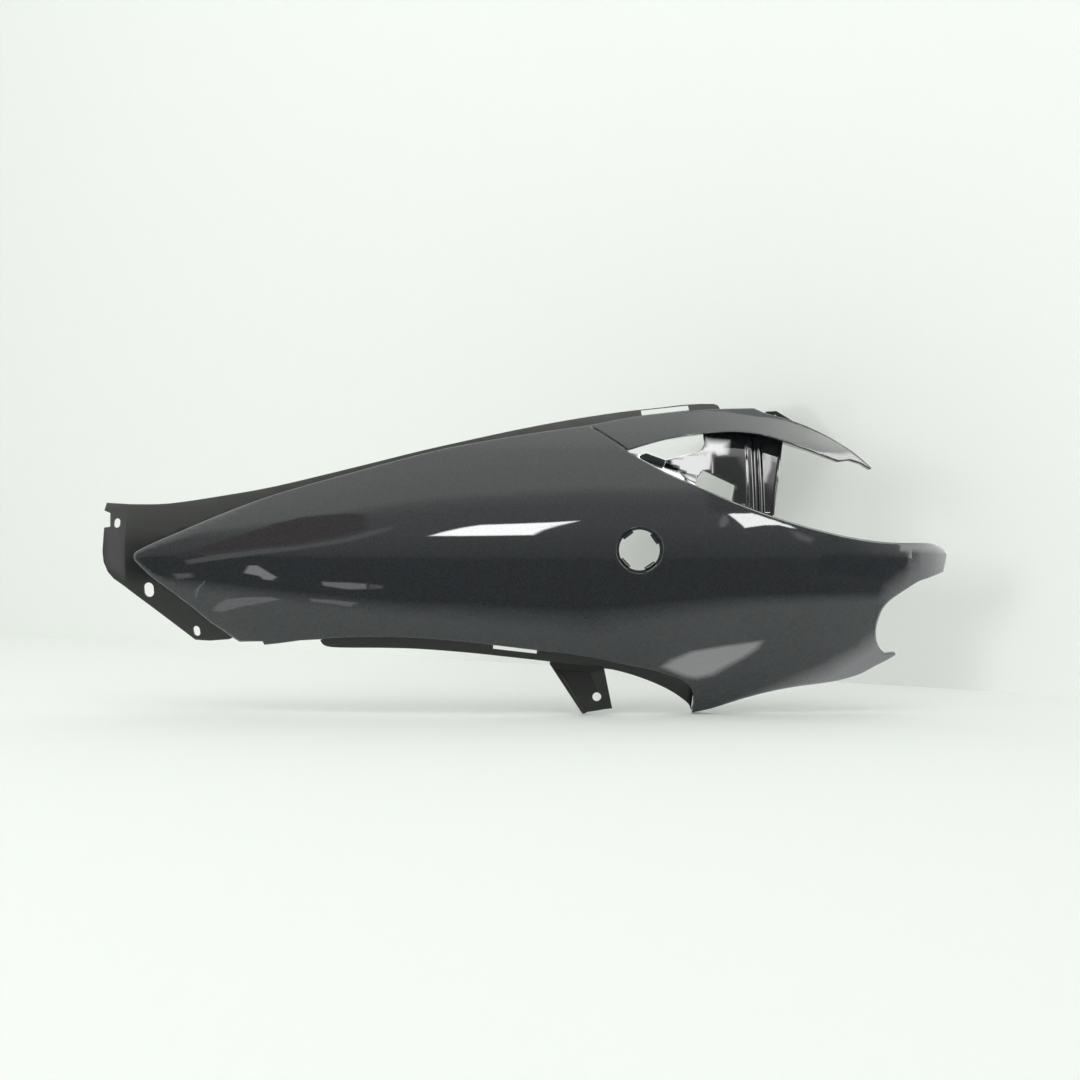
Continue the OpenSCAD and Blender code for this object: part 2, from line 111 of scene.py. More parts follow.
TAB_LINE = [(-44.4, 32.4), (-13.3, -15.2), (6, -12), (5.8, -5.8), (-5.5, 25.2), (-4, 38), (-34, 41)]
TAB_ROOT = [(-44.4, 32.4), (-41, 27.5), (-5, 24), (6.8, 25.6), (6.8, 34), (-4, 38), (-40, 41)]
TAB_LEFT = [(-44.2, 31.4), (-13.2, -15.8)]
TAB_FOLD = [(-6.5, 25.6), (5, -12.1)]
TAB_RIGHT = [(6.8, 27), (14.3, -10.5)]
GROOVE_LINE = [(-4, 252.8), (2.8, 249), (11.9, 242.6), (21.1, 236.4), (27.2, 231.4)]


SIDE_PANE_A = [(926, 960), (974, 1122), (1051, 1125), (1059, 938), (1003, 779), (927, 777)]
SIDE_PANE_B = [(1598, 773), (1758, 726), (1940, 544), (1876, 355), (1691, 484)]
LAMP_CARD = [(1181, 908), (2120, 1129), (2400, 1900), (1942, 1980), (1300, 1700), (1109, 1790),
             (835, 1760), (815, 1351), (950, 1187), (1109, 1080)]
LAMP_TOP = [(490, 1390), (560, 1400), (620, 1490), (648, 1600), (700, 1920), (490, 1920)]
LAMP_PATCH = [(838, 1640), (895, 1640), (845, 1373), (812, 1229), (770, 1100), (742, 985), (668, 975),
              (696, 1085), (722, 1217), (745, 1300), (785, 1385)]
LAMP_SHADE = [(372, 527), (736, 561), (736, 950), (660, 1090), (655, 1390), (490, 1360), (372, 1200)]
FLOOR_GLOW = [(120, -2), (175, -22), (235, -42), (300, -72), (370, -120), (480, -190), (700, -200),
              (700, 100), (120, 60)]
SIDE_GLOW = [(-235, -10), (-225, 50), (-190, 92), (-125, 127), (-70, 136), (-70, 330), (200, 330),
             (200, -10)]
SIDE_TOP = [(-185, 136), (-205, 330), (200, 330), (200, 130)]
SIDE_SHADE = [(-440, 52), (-440, 141), (-130, 137), (-130, 52)]
UNDER_ARM = [(40, -18, 232), (40, 8, 232), (100, 8, 242), (100, -18, 242)]
OVER_WEB = [(103, -14, 246), (103, 12, 246), (129, 12, 246), (133, -14, 246)]
BESIDE_TAB = [(-740, 40), (-740, 300), (-560, 250), (-545, 150), (-550, 40)]
PALE_LINE = [(-669, 71), (-608, 132), (-532, 170), (-461, 191), (-388, 228), (-351, 261),
             (-312, 281), (-310, 260), (-348, 223), (-386, 194), (-460, 158), (-531, 125),
             (-611, 71), (-666, 21)]
WARM_CARD = [(-712, 87), (-608, 278), (-546, 367), (-496, 399), (-408, 385), (-365, 359),
             (-358, 271), (-395, 238), (-469, 199), (-541, 179), (-619, 142), (-684, 68)]
NEAR_CARDS = [
    ("nose_patch_card", [(-437, 88), (-422, 90), (-399, 46), (-410, 30), (-424, 30), (-428, 43),
                         (-449, 51)], -250, 2.6, 5),
    ("nose_bar_card", [(-344, 46), (-306, 50), (-281, 50), (-283, 31), (-310, 25), (-344, 30)],
     -250, 1.9, 4),
    ("nose_bar_end_card", [(-281, 50), (-261, 48), (-262, 36), (-283, 31)], -250, 0.8, 3),
    ("nose_streak_card", [(-351, 4), (-321, 10), (-281, 11), (-299, -9), (-319, -6), (-351, -9)],
     -200, 1.5, 4),
    ("nose_tip_card", [(-525, 39), (-490, 53), (-493, 25), (-525, 3)], -200, 1.1, 8),
]
FLOOR_CARDS = [
    ("floor_smudge_card", [(-430, -68), (-436, -100), (-437, -134), (-421, -172), (-403, -196),
                           (-383, -192), (-397, -136), (-407, -107), (-416, -72)], 1.7, 5),
    ("floor_arc_card", [(-503, -215), (-535, -300), (-505, -231), (-475, -147), (-458, -101),
                        (-467, -113), (-490, -173)], 1.6, 2),
]
FLAG = [(310, 130), (340, 75), (410, 85), (500, 150), (600, 200), (660, 260), (620, 310), (530, 300),
        (420, 240), (330, 180)]
BLACK_CARD = [(-1400, -100), (-457, -150), (-330, -178), (-190, -190), (-148, -178), (-70, -158),
              (5, -132), (43, -165), (91, -190), (170, -228), (264, -262), (400, -262),
              (600, -215), (1400, -180), (3000, -4600), (-3000, -4600)]


def smooth_run(points: Sequence[Point], parts: int) -> list[Point]:
    """Runs a smooth line through points.

    Args:
        points: the points that the line passes through.
        parts: how many pieces each stretch is split into.

    Returns:
        The points of the line, without the last one.
    """
    run = []
    last = len(points) - 1
    for i in range(last):
        a, b, c, d = (np.array(points[k]) for k in (max(i - 1, 0), i, i + 1, min(i + 2, last)))
        for k in range(parts):
            t = k / parts
            run.append(tuple(0.5 * (2 * b + (c - a) * t + (2 * a - 5 * b + 4 * c - d) * t * t
                                    + (3 * b - a - 3 * c + d) * t ** 3)))
    return run


def moved(points: Iterable[Point], dx: float, dz: float) -> list[Point]:
    """Returns the points moved by dx and dz."""
    return [(x + dx, z + dz) for x, z in points]


def ramp(t: np.ndarray) -> np.ndarray:
    """Returns a soft step from 0 to 1 as t goes from 0 to 1."""
    u = np.clip(t, 0, 1)
    return u * u * (3 - 2 * u)


def distance_to(line: Sequence[Point], x: np.ndarray, z: np.ndarray, closed: bool) -> np.ndarray:
    """Measures how far places are from a line.

    Args:
        line: the points of the line.
        x: lengths of the places.
        z: heights of the places.
        closed: whether the line runs back to its start.

    Returns:
        The shortest distance of each place.
    """
    best = np.full(x.shape, 1e9)
    ends = list(line[1:]) + ([line[0]] if closed else [])
    for (ax, az), (bx, bz) in zip(line, ends):
        ux, uz = bx - ax, bz - az
        t = np.clip(((x - ax) * ux + (z - az) * uz) / max(ux * ux + uz * uz, 1e-9), 0, 1)
        best = np.minimum(best, np.hypot(x - ax - t * ux, z - az - t * uz))
    return best


# ---------------------------------------------------------------- depth rules


@dataclass(frozen=True)
class Form:
    """Depth rules of the moulding, in millimetres, the same as those of its solids."""

    crown_out: float = 36
    crown_z: float = 134
    crown_x: float = 40
    nose_x: float = -438
    tail_x: float = 330
    nose_sweep: float = 39
    tail_sweep: float = 46
    upper_r: float = 250
    lower_r: float = 285
    nose_r: float = 100
    shoulder_z: float = 95
    shoulder_roll: float = 0.0063
    fin_x: float = 290
    fin_roll: float = 0.01
    wall: float = 2.6
    lip_over: float = 1.3
    flange_set: float = 10
    front_slope: float = 0.02
    fold_slope: float = 0.2
    web_set: float = 20
    fold_h: float = 3
    tongue_rise: float = 12

    def skin(self, x: np.ndarray, z: np.ndarray) -> np.ndarray:
        """Returns the depth of the painted face at lengths x and heights z."""
        rise = z - self.crown_z
        grown = ramp((x - self.nose_x) / 320)
        radius = self.nose_r + (np.where(rise > 0, self.upper_r, self.lower_r) - self.nose_r) * grown
        f_nose = self.nose_sweep / (self.crown_x - self.nose_x) ** 2
        f_tail = self.tail_sweep / (self.tail_x - self.crown_x) ** 2
        return (-self.crown_out
                + np.where(x < self.crown_x, f_nose, f_tail) * (x - self.crown_x) ** 2
                + self.fin_roll * np.maximum(0, x - self.fin_x) ** 2
                + rise * rise / (2 * radius)
                + self.shoulder_roll * np.maximum(0, rise - self.shoulder_z) ** 2)

    def flange(self, x: np.ndarray, z: np.ndarray) -> np.ndarray:
        """Returns the depth of the mounting flange's outer face."""
        return (self.skin(x, z) + self.flange_set
                + self.front_slope * np.maximum(0, -360 - x)
                + self.fold_slope * np.maximum(0, -447 - x))

    def lip(self, x: np.ndarray, z: np.ndarray) -> np.ndarray:
        """Returns how deep the return lip reaches."""
        beside_web = ((ramp((x - 58) / 20) - ramp((x - 184) / 16)) * ramp((z - 140) / 12)
                      * (1 - ramp((z - 252) / 10)))
        return self.flange(x, z) + self.lip_over + (self.web_set - self.flange_set) * beside_web

    def web(self, x: np.ndarray, z: np.ndarray) -> np.ndarray:
        """Returns the depth of the web's outer face, with its two upright folds."""
        folds = (ramp((x - 140) / 3) - ramp((x - 146) / 3)
                 + ramp((x - 150) / 2.5) - ramp((x - 154) / 3))
        return (self.skin(x, z) + self.web_set - self.tongue_rise * (1 - ramp((x - 62) / 50))
                - self.fold_h * folds)


FORM = Form()


def even(radius: float) -> Depth:
    """Returns a rule that gives one radius everywhere."""
    return lambda x, z: np.full(np.shape(x), radius)


# ---------------------------------------------------------------- modelling by hand


def alone(obj: bpy.types.Object) -> None:
    """Makes one object the only selected and active one."""
    bpy.ops.object.select_all(action="DESELECT")
    obj.select_set(True)
    bpy.context.view_layer.objects.active = obj


def coordinates(obj: bpy.types.Object) -> np.ndarray:
    """Returns the vertices of an object as rows of x, y and z in millimetres."""
    flat = np.empty(len(obj.data.vertices) * 3)
    obj.data.vertices.foreach_get("co", flat)
    return flat.reshape(-1, 3) / MM


def put(obj: bpy.types.Object, co: np.ndarray) -> None:
    """Sets the vertices of an object from rows of millimetres."""
    obj.data.vertices.foreach_set("co", (co * MM).ravel())
    obj.data.update()


def pick_faces(obj: bpy.types.Object, wanted: Callable[[Vector, Vector], bool]) -> int:
    """Selects faces in edit mode by their centre and normal.

    Args:
        obj: the object in edit mode.
        wanted: takes a centre in millimetres and a normal, and says whether the face is wanted.

    Returns:
        How many faces are selected.
    """
    bpy.ops.mesh.select_all(action="DESELECT")
    bm = bmesh.from_edit_mesh(obj.data)
    count = 0
    for face in bm.faces:
        if wanted(face.calc_center_median() / MM, face.normal):
            face.select_set(True)
            count += 1
    bmesh.update_edit_mesh(obj.data)
    return count


def finish_shape(obj: bpy.types.Object, angle: float = 38) -> None:
    """Turns the faces outwards and shades them smooth up to an angle in degrees."""
    alone(obj)
    bpy.ops.object.mode_set(mode="EDIT")
    bpy.ops.mesh.select_all(action="SELECT")
    bpy.ops.mesh.remove_doubles(threshold=0.00001)
    bpy.ops.mesh.normals_make_consistent(inside=False)
    bpy.ops.object.mode_set(mode="OBJECT")
    bpy.ops.object.shade_smooth_by_angle(angle=math.radians(angle))


@dataclass
class Plate:
    """A moulded plate: drawn flat, ringed along its edge, cut into a grid and bent to its depth.

    Attributes:
        name: the piece's name.
        outline: its outline as lengths and heights.
        face: the depth rule of its outer face.
        thick: its wall.
        roll: the radius of its rolled outer edge, by place.
        rings: how far in each ring of faces along the edge goes.
        xs: lengths of the grid's upright cuts.
        zs: heights of the grid's level cuts.
    """

    name: str
    outline: list[Point]
    face: Depth
    thick: float
    roll: Depth
    rings: list[float]
    xs: np.ndarray
    zs: np.ndarray
    slants: list[tuple[Point, Point]] = field(default_factory=list)

    def flat(self) -> bpy.types.Object:
        """Draws the outline, its rings and its grid on the flat.

        Returns:
            The flat plate, in edit mode.
        """
        bpy.ops.object.select_all(action="DESELECT")
        bpy.ops.mesh.primitive_circle_add(vertices=len(self.outline), radius=0.1, fill_type="NGON")
        obj = bpy.context.object
        obj.name = obj.data.name = self.name
        put(obj, np.array([(x, 0.0, z) for x, z in self.outline]))
        bpy.ops.object.mode_set(mode="EDIT")
        bpy.ops.mesh.select_all(action="SELECT")
        reached = 0.0
        for ring in self.rings:
            bpy.ops.mesh.inset(thickness=(ring - reached) * MM, depth=0, use_boundary=True,
                               use_even_offset=True)
            reached = ring
        for x in self.xs:
            self.cut((x, 0), (1, 0))
        for z in self.zs:
            self.cut((0, z), (0, 1))
        for at, across in self.slants:
            pick_faces(obj, lambda c, n: abs((c.x - at[0]) * across[1] - (c.z - at[1]) * across[0])
                       < 26 and abs((c.x - at[0]) * across[0] + (c.z - at[1]) * across[1]) < 6)
            bpy.ops.mesh.bisect(plane_co=(at[0] * MM, 0, at[1] * MM),
                                plane_no=(across[0], 0, across[1]), threshold=0.00002)
        return obj

    def cut(self, at: Point, across: Point) -> None:
        """Cuts the whole plate along a line through a place, square to a direction."""
        bpy.ops.mesh.select_all(action="SELECT")
        bpy.ops.mesh.bisect(plane_co=(at[0] * MM, 0, at[1] * MM), plane_no=(across[0], 0, across[1]),
                            threshold=0.00002)

    def rolled(self, x: np.ndarray, z: np.ndarray) -> np.ndarray:
        """Returns how far the rolled edge falls back at lengths x and heights z."""
        radius = self.roll(x, z)
        inside = np.clip(radius - distance_to(self.outline, x, z, True), 0, radius)
        return radius - np.sqrt(radius ** 2 - inside ** 2)

    def build(self) -> bpy.types.Object:
        """Makes the plate.

        Returns:
            The plate as a closed shell.
        """
        obj = self.flat()
        bpy.ops.object.mode_set(mode="OBJECT")
        co = coordinates(obj)
        front = len(co)
        co[:, 1] = self.face(co[:, 0], co[:, 2]) + self.rolled(co[:, 0], co[:, 2])
        put(obj, co)
        bpy.ops.object.mode_set(mode="EDIT")
        bpy.ops.mesh.select_all(action="SELECT")
        bpy.ops.mesh.extrude_region_move(TRANSFORM_OT_translate={"value": (0, self.thick * MM, 0)})
        self.behind(obj)
        bpy.ops.object.mode_set(mode="OBJECT")
        log.info("%s: %d points in front, %d in all", self.name, front, len(obj.data.vertices))
        return obj

    def behind(self, obj: bpy.types.Object) -> None:
        """Evens out the back of the plate, whose faces are selected, in edit mode."""
        bm = bmesh.from_edit_mesh(obj.data)
        verts = [v for v in bm.verts if v.select]
        x = np.array([v.co.x for v in verts]) / MM
        z = np.array([v.co.z for v in verts]) / MM
        for v, y in zip(verts, self.face(x, z) + self.thick):
            v.co.y = y * MM
        bmesh.update_edit_mesh(obj.data)


@dataclass
class LippedPlate(Plate):
    """A plate with a return lip behind its whole edge.

    Attributes:
        lip_t: how thick the lip is.
        lip: the depth rule of the lip's end.
    """

    lip_t: float = 2.6
    lip: Depth = FORM.lip

    def behind(self, obj: bpy.types.Object) -> None:
        """Evens out the back and draws the lip from it."""
        super().behind(obj)
        bm = bmesh.from_edit_mesh(obj.data)
        faces = [f for f in bm.faces if f.select]
        centres = np.array([f.calc_center_median() for f in faces]) / MM
        near = distance_to(self.outline, centres[:, 0], centres[:, 2], True) < self.lip_t
        for face, keep in zip(faces, near):
            if not keep:
                face.select_set(False)
        bm.select_flush_mode()
        bmesh.update_edit_mesh(obj.data)
        bpy.ops.mesh.extrude_region_move(TRANSFORM_OT_translate={"value": (0, 0.004, 0)})
        bm = bmesh.from_edit_mesh(obj.data)
        verts = [v for v in bm.verts if v.select]
        x = np.array([v.co.x for v in verts]) / MM
        z = np.array([v.co.z for v in verts]) / MM
        for v, y in zip(verts, self.lip(x, z)):
            v.co.y = y * MM
        bmesh.update_edit_mesh(obj.data)


def rail(name: str, sections: Sequence[Sequence[tuple[float, float, float]]],
         edge: float = 0.0) -> bpy.types.Object:
    """Draws a bar through four-cornered sections, from a plane pulled out section by section.

    Args:
        name: the piece's name.
        sections: four corners each, in millimetres.
        edge: how wide its long edges are bevelled, in millimetres.

    Returns:
        The bar as a closed shell.
    """
    bpy.ops.object.select_all(action="DESELECT")
    bpy.ops.mesh.primitive_plane_add(size=0.01)
    obj = bpy.context.object
    obj.name = obj.data.name = name
    order = [0, 1, 3, 2]
    co = np.empty((4, 3))
    for corner, k in enumerate(order):
        co[k] = sections[0][corner]
    put(obj, co)
    bpy.ops.object.mode_set(mode="EDIT")
    bpy.ops.mesh.select_all(action="SELECT")
    for before, after in zip(sections, sections[1:]):
        bpy.ops.mesh.extrude_region_move(TRANSFORM_OT_translate={"value": (0, 0, 0)})
        bm = bmesh.from_edit_mesh(obj.data)
        for v in [v for v in bm.verts if v.select]:
            k = min(range(4), key=lambda c: (Vector(before[c]) * MM - v.co).length)
            v.co = Vector(after[k]) * MM
        bmesh.update_edit_mesh(obj.data)
    bpy.ops.object.mode_set(mode="OBJECT")
    finish_shape(obj)
    if edge:
        soften(obj, edge)
    return obj


def soften(obj: bpy.types.Object, width: float, parts: int = 2) -> None:
    """Bevels the sharp edges of an object by a width in millimetres."""
    alone(obj)
    bevel = obj.modifiers.new("edge", "BEVEL")
    bevel.width = width * MM
    bevel.segments = parts
    bevel.limit_method = "ANGLE"
    bevel.angle_limit = math.radians(40)
    bevel.use_clamp_overlap = True
    bpy.ops.object.modifier_apply(modifier="edge")
    bpy.ops.object.shade_smooth_by_angle(angle=math.radians(45))


def block(name: str, outline: Sequence[Point], near: float, far: float,
          edge: float = 0.4) -> bpy.types.Object:
    """Draws a flat outline from one depth to another and softens its edges.

    Args:
        name: the piece's name.
        outline: its outline.
        near: the depth of its front.
        far: the depth of its back.
        edge: how wide its edges are bevelled.

    Returns:
        The block as a closed shell.
    """
    bpy.ops.object.select_all(action="DESELECT")
    bpy.ops.mesh.primitive_circle_add(vertices=len(outline), radius=0.1, fill_type="NGON")
    obj = bpy.context.object
    obj.name = obj.data.name = name
    put(obj, np.array([(x, near, z) for x, z in outline]))
    bpy.ops.object.mode_set(mode="EDIT")
    bpy.ops.mesh.select_all(action="SELECT")
    bpy.ops.mesh.extrude_region_move(TRANSFORM_OT_translate={"value": (0, (far - near) * MM, 0)})
    bpy.ops.object.mode_set(mode="OBJECT")
    finish_shape(obj)
    if edge:
        soften(obj, edge)
    return obj


def turned(name: str, centre: tuple[float, float, float], profile: Sequence[Point], steps: int,
           start: float = 0.0, sweep: float = 360.0) -> bpy.types.Object:
    """Spins a closed section round an axis that runs through the panel.

    Args:
        name: the piece's name.
        centre: a point on the axis.
        profile: the section as radius and depth behind the centre.
        steps: how many parts the spin has.
        start: the angle at which it starts, in degrees.
        sweep: the angle that it takes.

    Returns:
        The turned piece as a closed shell.
    """
    bpy.ops.object.select_all(action="DESELECT")
    whole = sweep >= 360
    bpy.ops.mesh.primitive_circle_add(vertices=len(profile), radius=0.01,
                                      fill_type="NOTHING" if whole else "NGON")
    obj = bpy.context.object
    obj.name = obj.data.name = name
    a = math.radians(start)
    put(obj, np.array([(centre[0] + r * math.cos(a), centre[1] + y, centre[2] + r * math.sin(a))
                       for r, y in profile]))
    bpy.ops.object.mode_set(mode="EDIT")
    bpy.ops.mesh.select_all(action="SELECT")
    bpy.ops.mesh.spin(steps=steps, angle=math.radians(sweep), center=Vector(centre) * MM,
                      axis=(0, 1, 0))
    bpy.ops.object.mode_set(mode="OBJECT")
    finish_shape(obj)
    return obj


def cut_away(obj: bpy.types.Object, tool: bpy.types.Object) -> None:
    """Cuts a tool's shape out of an object and removes the tool."""
    alone(obj)
    cut = obj.modifiers.new("cut", "BOOLEAN")
    cut.operation = "DIFFERENCE"
    cut.solver = "EXACT"
    cut.object = tool
    bpy.ops.object.modifier_apply(modifier="cut")
    mesh = tool.data
    bpy.data.objects.remove(tool)
    bpy.data.meshes.remove(mesh)
    bpy.ops.object.shade_smooth_by_angle(angle=math.radians(38))


def slot_tool(at: Point, size: Point) -> bpy.types.Object:
    """Makes the tool for an upright hole with round ends.

    Args:
        at: the hole's middle.
        size: its width and height.

    Returns:
        A long bar with round ends, along the depth.
    """
    half = (size[1] - size[0]) / 2
    bpy.ops.object.select_all(action="DESELECT")
    bpy.ops.mesh.primitive_cylinder_add(vertices=48, radius=size[0] / 2 * MM, depth=0.3,
                                        rotation=(math.pi / 2, 0, 0),
                                        location=(at[0] * MM, 0, at[1] * MM))
    obj = bpy.context.object
    bpy.ops.object.transform_apply(location=True, rotation=True, scale=True)
    co = coordinates(obj)
    co[:, 2] += np.where(co[:, 2] > at[1], half, -half)
    put(obj, co)
    return obj


def bar_tool(at: Point, length: float, width: float, turn: float) -> bpy.types.Object:
    """Makes the tool for a long slot that follows its flange.

    Args:
        at: the slot's middle.
        length: its length.
        width: its width.
        turn: how many degrees it rises towards the tail.

    Returns:
        A long bar along the depth.
    """
    bpy.ops.object.select_all(action="DESELECT")
    bpy.ops.mesh.primitive_cube_add(size=1)
    obj = bpy.context.object
    c, s = math.cos(math.radians(turn)), math.sin(math.radians(turn))
    co = coordinates(obj) * MM
    x, z = co[:, 0] * length, co[:, 2] * width
    put(obj, np.stack([at[0] + x * c - z * s, co[:, 1] * 300, at[1] + x * s + z * c], axis=1))
    return obj


# ---------------------------------------------------------------- shared effects


class Effect(Enum):
    """The shared shader node groups."""

    FLAKE = "metal flake"
    HANDLING = "handling marks"
    PEEL = "orange peel"


def new_group(effect: Effect, inputs: dict[str, float], outputs: Sequence[str]
              ) -> tuple[bpy.types.NodeTree, bpy.types.Node, bpy.types.Node]:
    """Starts a shader node group.

    Args:
        effect: which effect it is.
        inputs: its inputs and their first values.
        outputs: its outputs, all of them numbers.

    Returns:
        The group, its input node and its output node.
    """
    tree = bpy.data.node_groups.new(effect.value, "ShaderNodeTree")
    tree.interface.new_socket("Place", in_out="INPUT", socket_type="NodeSocketVector")
    for name, value in inputs.items():
        tree.interface.new_socket(name, in_out="INPUT", socket_type="NodeSocketFloat"
                                  ).default_value = value
    for name in outputs:
        tree.interface.new_socket(name, in_out="OUTPUT", socket_type="NodeSocketFloat")
    return tree, tree.nodes.new("NodeGroupInput"), tree.nodes.new("NodeGroupOutput")


def number(tree: bpy.types.NodeTree, operation: str, *values: object, clamp: bool = False
           ) -> bpy.types.NodeSocket:
    """Adds a math node and returns its output; each value is a number or a socket."""
    node = tree.nodes.new("ShaderNodeMath")
    node.operation = operation
    node.use_clamp = clamp
    for socket, value in zip(node.inputs, values):
        if isinstance(value, (int, float)):
            socket.default_value = value
        else:
            tree.links.new(value, socket)
    return node.outputs[0]


def flake_group() -> bpy.types.NodeTree:
    """Makes the tiny bright grains of a metallic paint."""
    tree, start, end = new_group(Effect.FLAKE, {"Scale": 2600.0, "Amount": 0.5}, ["Grain"])
    cells = tree.nodes.new("ShaderNodeTexVoronoi")
    tree.links.new(start.outputs["Place"], cells.inputs["Vector"])
    tree.links.new(start.outputs["Scale"], cells.inputs["Scale"])
    grey = tree.nodes.new("ShaderNodeSeparateColor")
    tree.links.new(cells.outputs["Color"], grey.inputs[0])
    lifted = number(tree, "POWER", grey.outputs[0], 3.0)
    tree.links.new(number(tree, "MULTIPLY", lifted, start.outputs["Amount"]), end.inputs["Grain"])
    return tree


def handling_group() -> bpy.types.NodeTree:
    """Makes soft smears and fine dust where a part has been handled."""
    tree, start, end = new_group(Effect.HANDLING, {"Scale": 14.0, "Amount": 1.0}, ["Smear", "Dust"])
    clouds = tree.nodes.new("ShaderNodeTexNoise")
    clouds.inputs["Detail"].default_value = 5
    clouds.inputs["Roughness"].default_value = 0.6
    tree.links.new(start.outputs["Place"], clouds.inputs["Vector"])
    tree.links.new(start.outputs["Scale"], clouds.inputs["Scale"])
    cleared = number(tree, "SUBTRACT", clouds.outputs["Fac"], 0.5)
    smear = number(tree, "MULTIPLY", cleared, 3.0, clamp=True)
    tree.links.new(number(tree, "MULTIPLY", smear, start.outputs["Amount"]), end.inputs["Smear"])
    specks = tree.nodes.new("ShaderNodeTexVoronoi")
    tree.links.new(start.outputs["Place"], specks.inputs["Vector"])
    tree.links.new(number(tree, "MULTIPLY", start.outputs["Scale"], 16.0), specks.inputs["Scale"])
    near = number(tree, "LESS_THAN", specks.outputs["Distance"], 0.075)
    tree.links.new(number(tree, "MULTIPLY", near, smear), end.inputs["Dust"])
    return tree


def peel_group() -> bpy.types.NodeTree:
    """Makes the faint waviness of a sprayed or moulded gloss."""
    tree, start, end = new_group(Effect.PEEL, {"Scale": 90.0, "Height": 1.0}, ["Height"])
    waves = tree.nodes.new("ShaderNodeTexNoise")
    waves.inputs["Detail"].default_value = 2
    tree.links.new(start.outputs["Place"], waves.inputs["Vector"])
    tree.links.new(start.outputs["Scale"], waves.inputs["Scale"])
    tree.links.new(number(tree, "MULTIPLY", waves.outputs["Fac"], start.outputs["Height"]),
                   end.inputs["Height"])
    return tree


@dataclass
class Finish:
    """A gloss or satin finish of the moulding.

    Attributes:
        name: the material's name.
        colour: its main colour.
        grain_colour: the colour of its flakes.
        metallic: how metallic its base is.
        roughness: how rough its base is.
        coat: how much clear coat lies on it.
        coat_roughness: how rough the coat is.
        flake: how strong the flakes are.
        smear: how strong the handling marks are.
        dust: how bright the dust is.
        peel: how deep the waviness is, in millimetres.
        peel_scale: how fine the waviness is.
        shine: how strongly its base mirrors.
        coat_ior: how strongly its clear coat mirrors, as an index of refraction.
    """

    name: str
    colour: tuple[float, float, float]
    grain_colour: tuple[float, float, float]
    metallic: float
    roughness: float
    coat: float
    coat_roughness: float
    flake: float
    smear: float
    dust: float
    peel: float
    peel_scale: float
    shine: float
    coat_ior: float = 1.5

    def group(self, tree: bpy.types.NodeTree, effect: Effect, place: bpy.types.NodeSocket,
              **values: float) -> bpy.types.Node:
        """Puts one shared effect into a material.

        Args:
            tree: the material's nodes.
            effect: which effect.
            place: the coordinates that it follows.
            values: its inputs' values.

        Returns:
            The group's node.
        """
        node = tree.nodes.new("ShaderNodeGroup")
        node.node_tree = bpy.data.node_groups[effect.value]
        tree.links.new(place, node.inputs["Place"])
        for name, value in values.items():
            node.inputs[name].default_value = value
        return node

    def material(self) -> bpy.types.Material:
        """Makes the material from its values."""
        mat = bpy.data.materials.new(self.name)
        mat.use_nodes = True
        tree = mat.node_tree
        shader = tree.nodes["Principled BSDF"]
        place = tree.nodes.new("ShaderNodeTexCoord").outputs["Object"]
        flakes = self.group(tree, Effect.FLAKE, place, Scale=2600.0, Amount=self.flake)
        marks = self.group(tree, Effect.HANDLING, place, Scale=14.0, Amount=self.smear)
        peel = self.group(tree, Effect.PEEL, place, Scale=self.peel_scale, Height=1.0)
        grains = tree.nodes.new("ShaderNodeMix")
        grains.data_type = "RGBA"
        grains.inputs["A"].default_value = (*self.colour, 1)
        grains.inputs["B"].default_value = (*self.grain_colour, 1)
        tree.links.new(flakes.outputs["Grain"], grains.inputs["Factor"])
        dusted = tree.nodes.new("ShaderNodeMix")
        dusted.data_type = "RGBA"
        dusted.inputs["B"].default_value = (0.42, 0.42, 0.40, 1)
        tree.links.new(number(tree, "MULTIPLY", marks.outputs["Dust"], self.dust),
                       dusted.inputs["Factor"])
        tree.links.new(grains.outputs["Result"], dusted.inputs["A"])
        tree.links.new(dusted.outputs["Result"], shader.inputs["Base Color"])
        rough = number(tree, "ADD", number(tree, "MULTIPLY", marks.outputs["Smear"], 0.12),
                       self.roughness)
        tree.links.new(rough, shader.inputs["Roughness"])
        bump = tree.nodes.new("ShaderNodeBump")
        bump.inputs["Strength"].default_value = 1
        bump.inputs["Distance"].default_value = self.peel * MM
        tree.links.new(peel.outputs["Height"], bump.inputs["Height"])
        tree.links.new(bump.outputs["Normal"], shader.inputs["Normal"])
        shader.inputs["Metallic"].default_value = self.metallic
        shader.inputs["Coat Weight"].default_value = self.coat
        shader.inputs["Coat Roughness"].default_value = self.coat_roughness
        shader.inputs["Specular IOR Level"].default_value = self.shine
        shader.inputs["Coat IOR"].default_value = self.coat_ior
        return mat


PAINT = Finish("anthracite_paint", (0.0088, 0.0112, 0.0138), (0.10, 0.105, 0.115), 0.0, 0.42, 1.0,
               0.02, 0.25, 0.5, 0.1, 0.004, 70, 0.1, 1.62)
SATIN = Finish("satin_black_flange", (0.009, 0.010, 0.009), (0.03, 0.03, 0.03), 0.0, 0.30, 0.3, 0.15,
               0.2, 1.0, 0.2, 0.02, 120, 0.3)
GLOSS = Finish("gloss_black_web", (0.007, 0.009, 0.010), (0.02, 0.02, 0.02), 0.0, 0.15, 1.0, 0.03,
               0.2, 0.3, 0.1, 0.15, 60, 0.1, 1.7)
# A pale grey that paints the highlights on the seat's ridges.
PAINTED_RIDGE_HIGHLIGHT = Finish("seat_ridge_painted_highlight", (0.27, 0.275, 0.262), (0.34, 0.34, 0.33), 0.0, 0.45, 0.2, 0.2,
               0.2, 1.0, 0.2, 0.03, 150, 0.4)


# ---------------------------------------------------------------- sub-assemblies


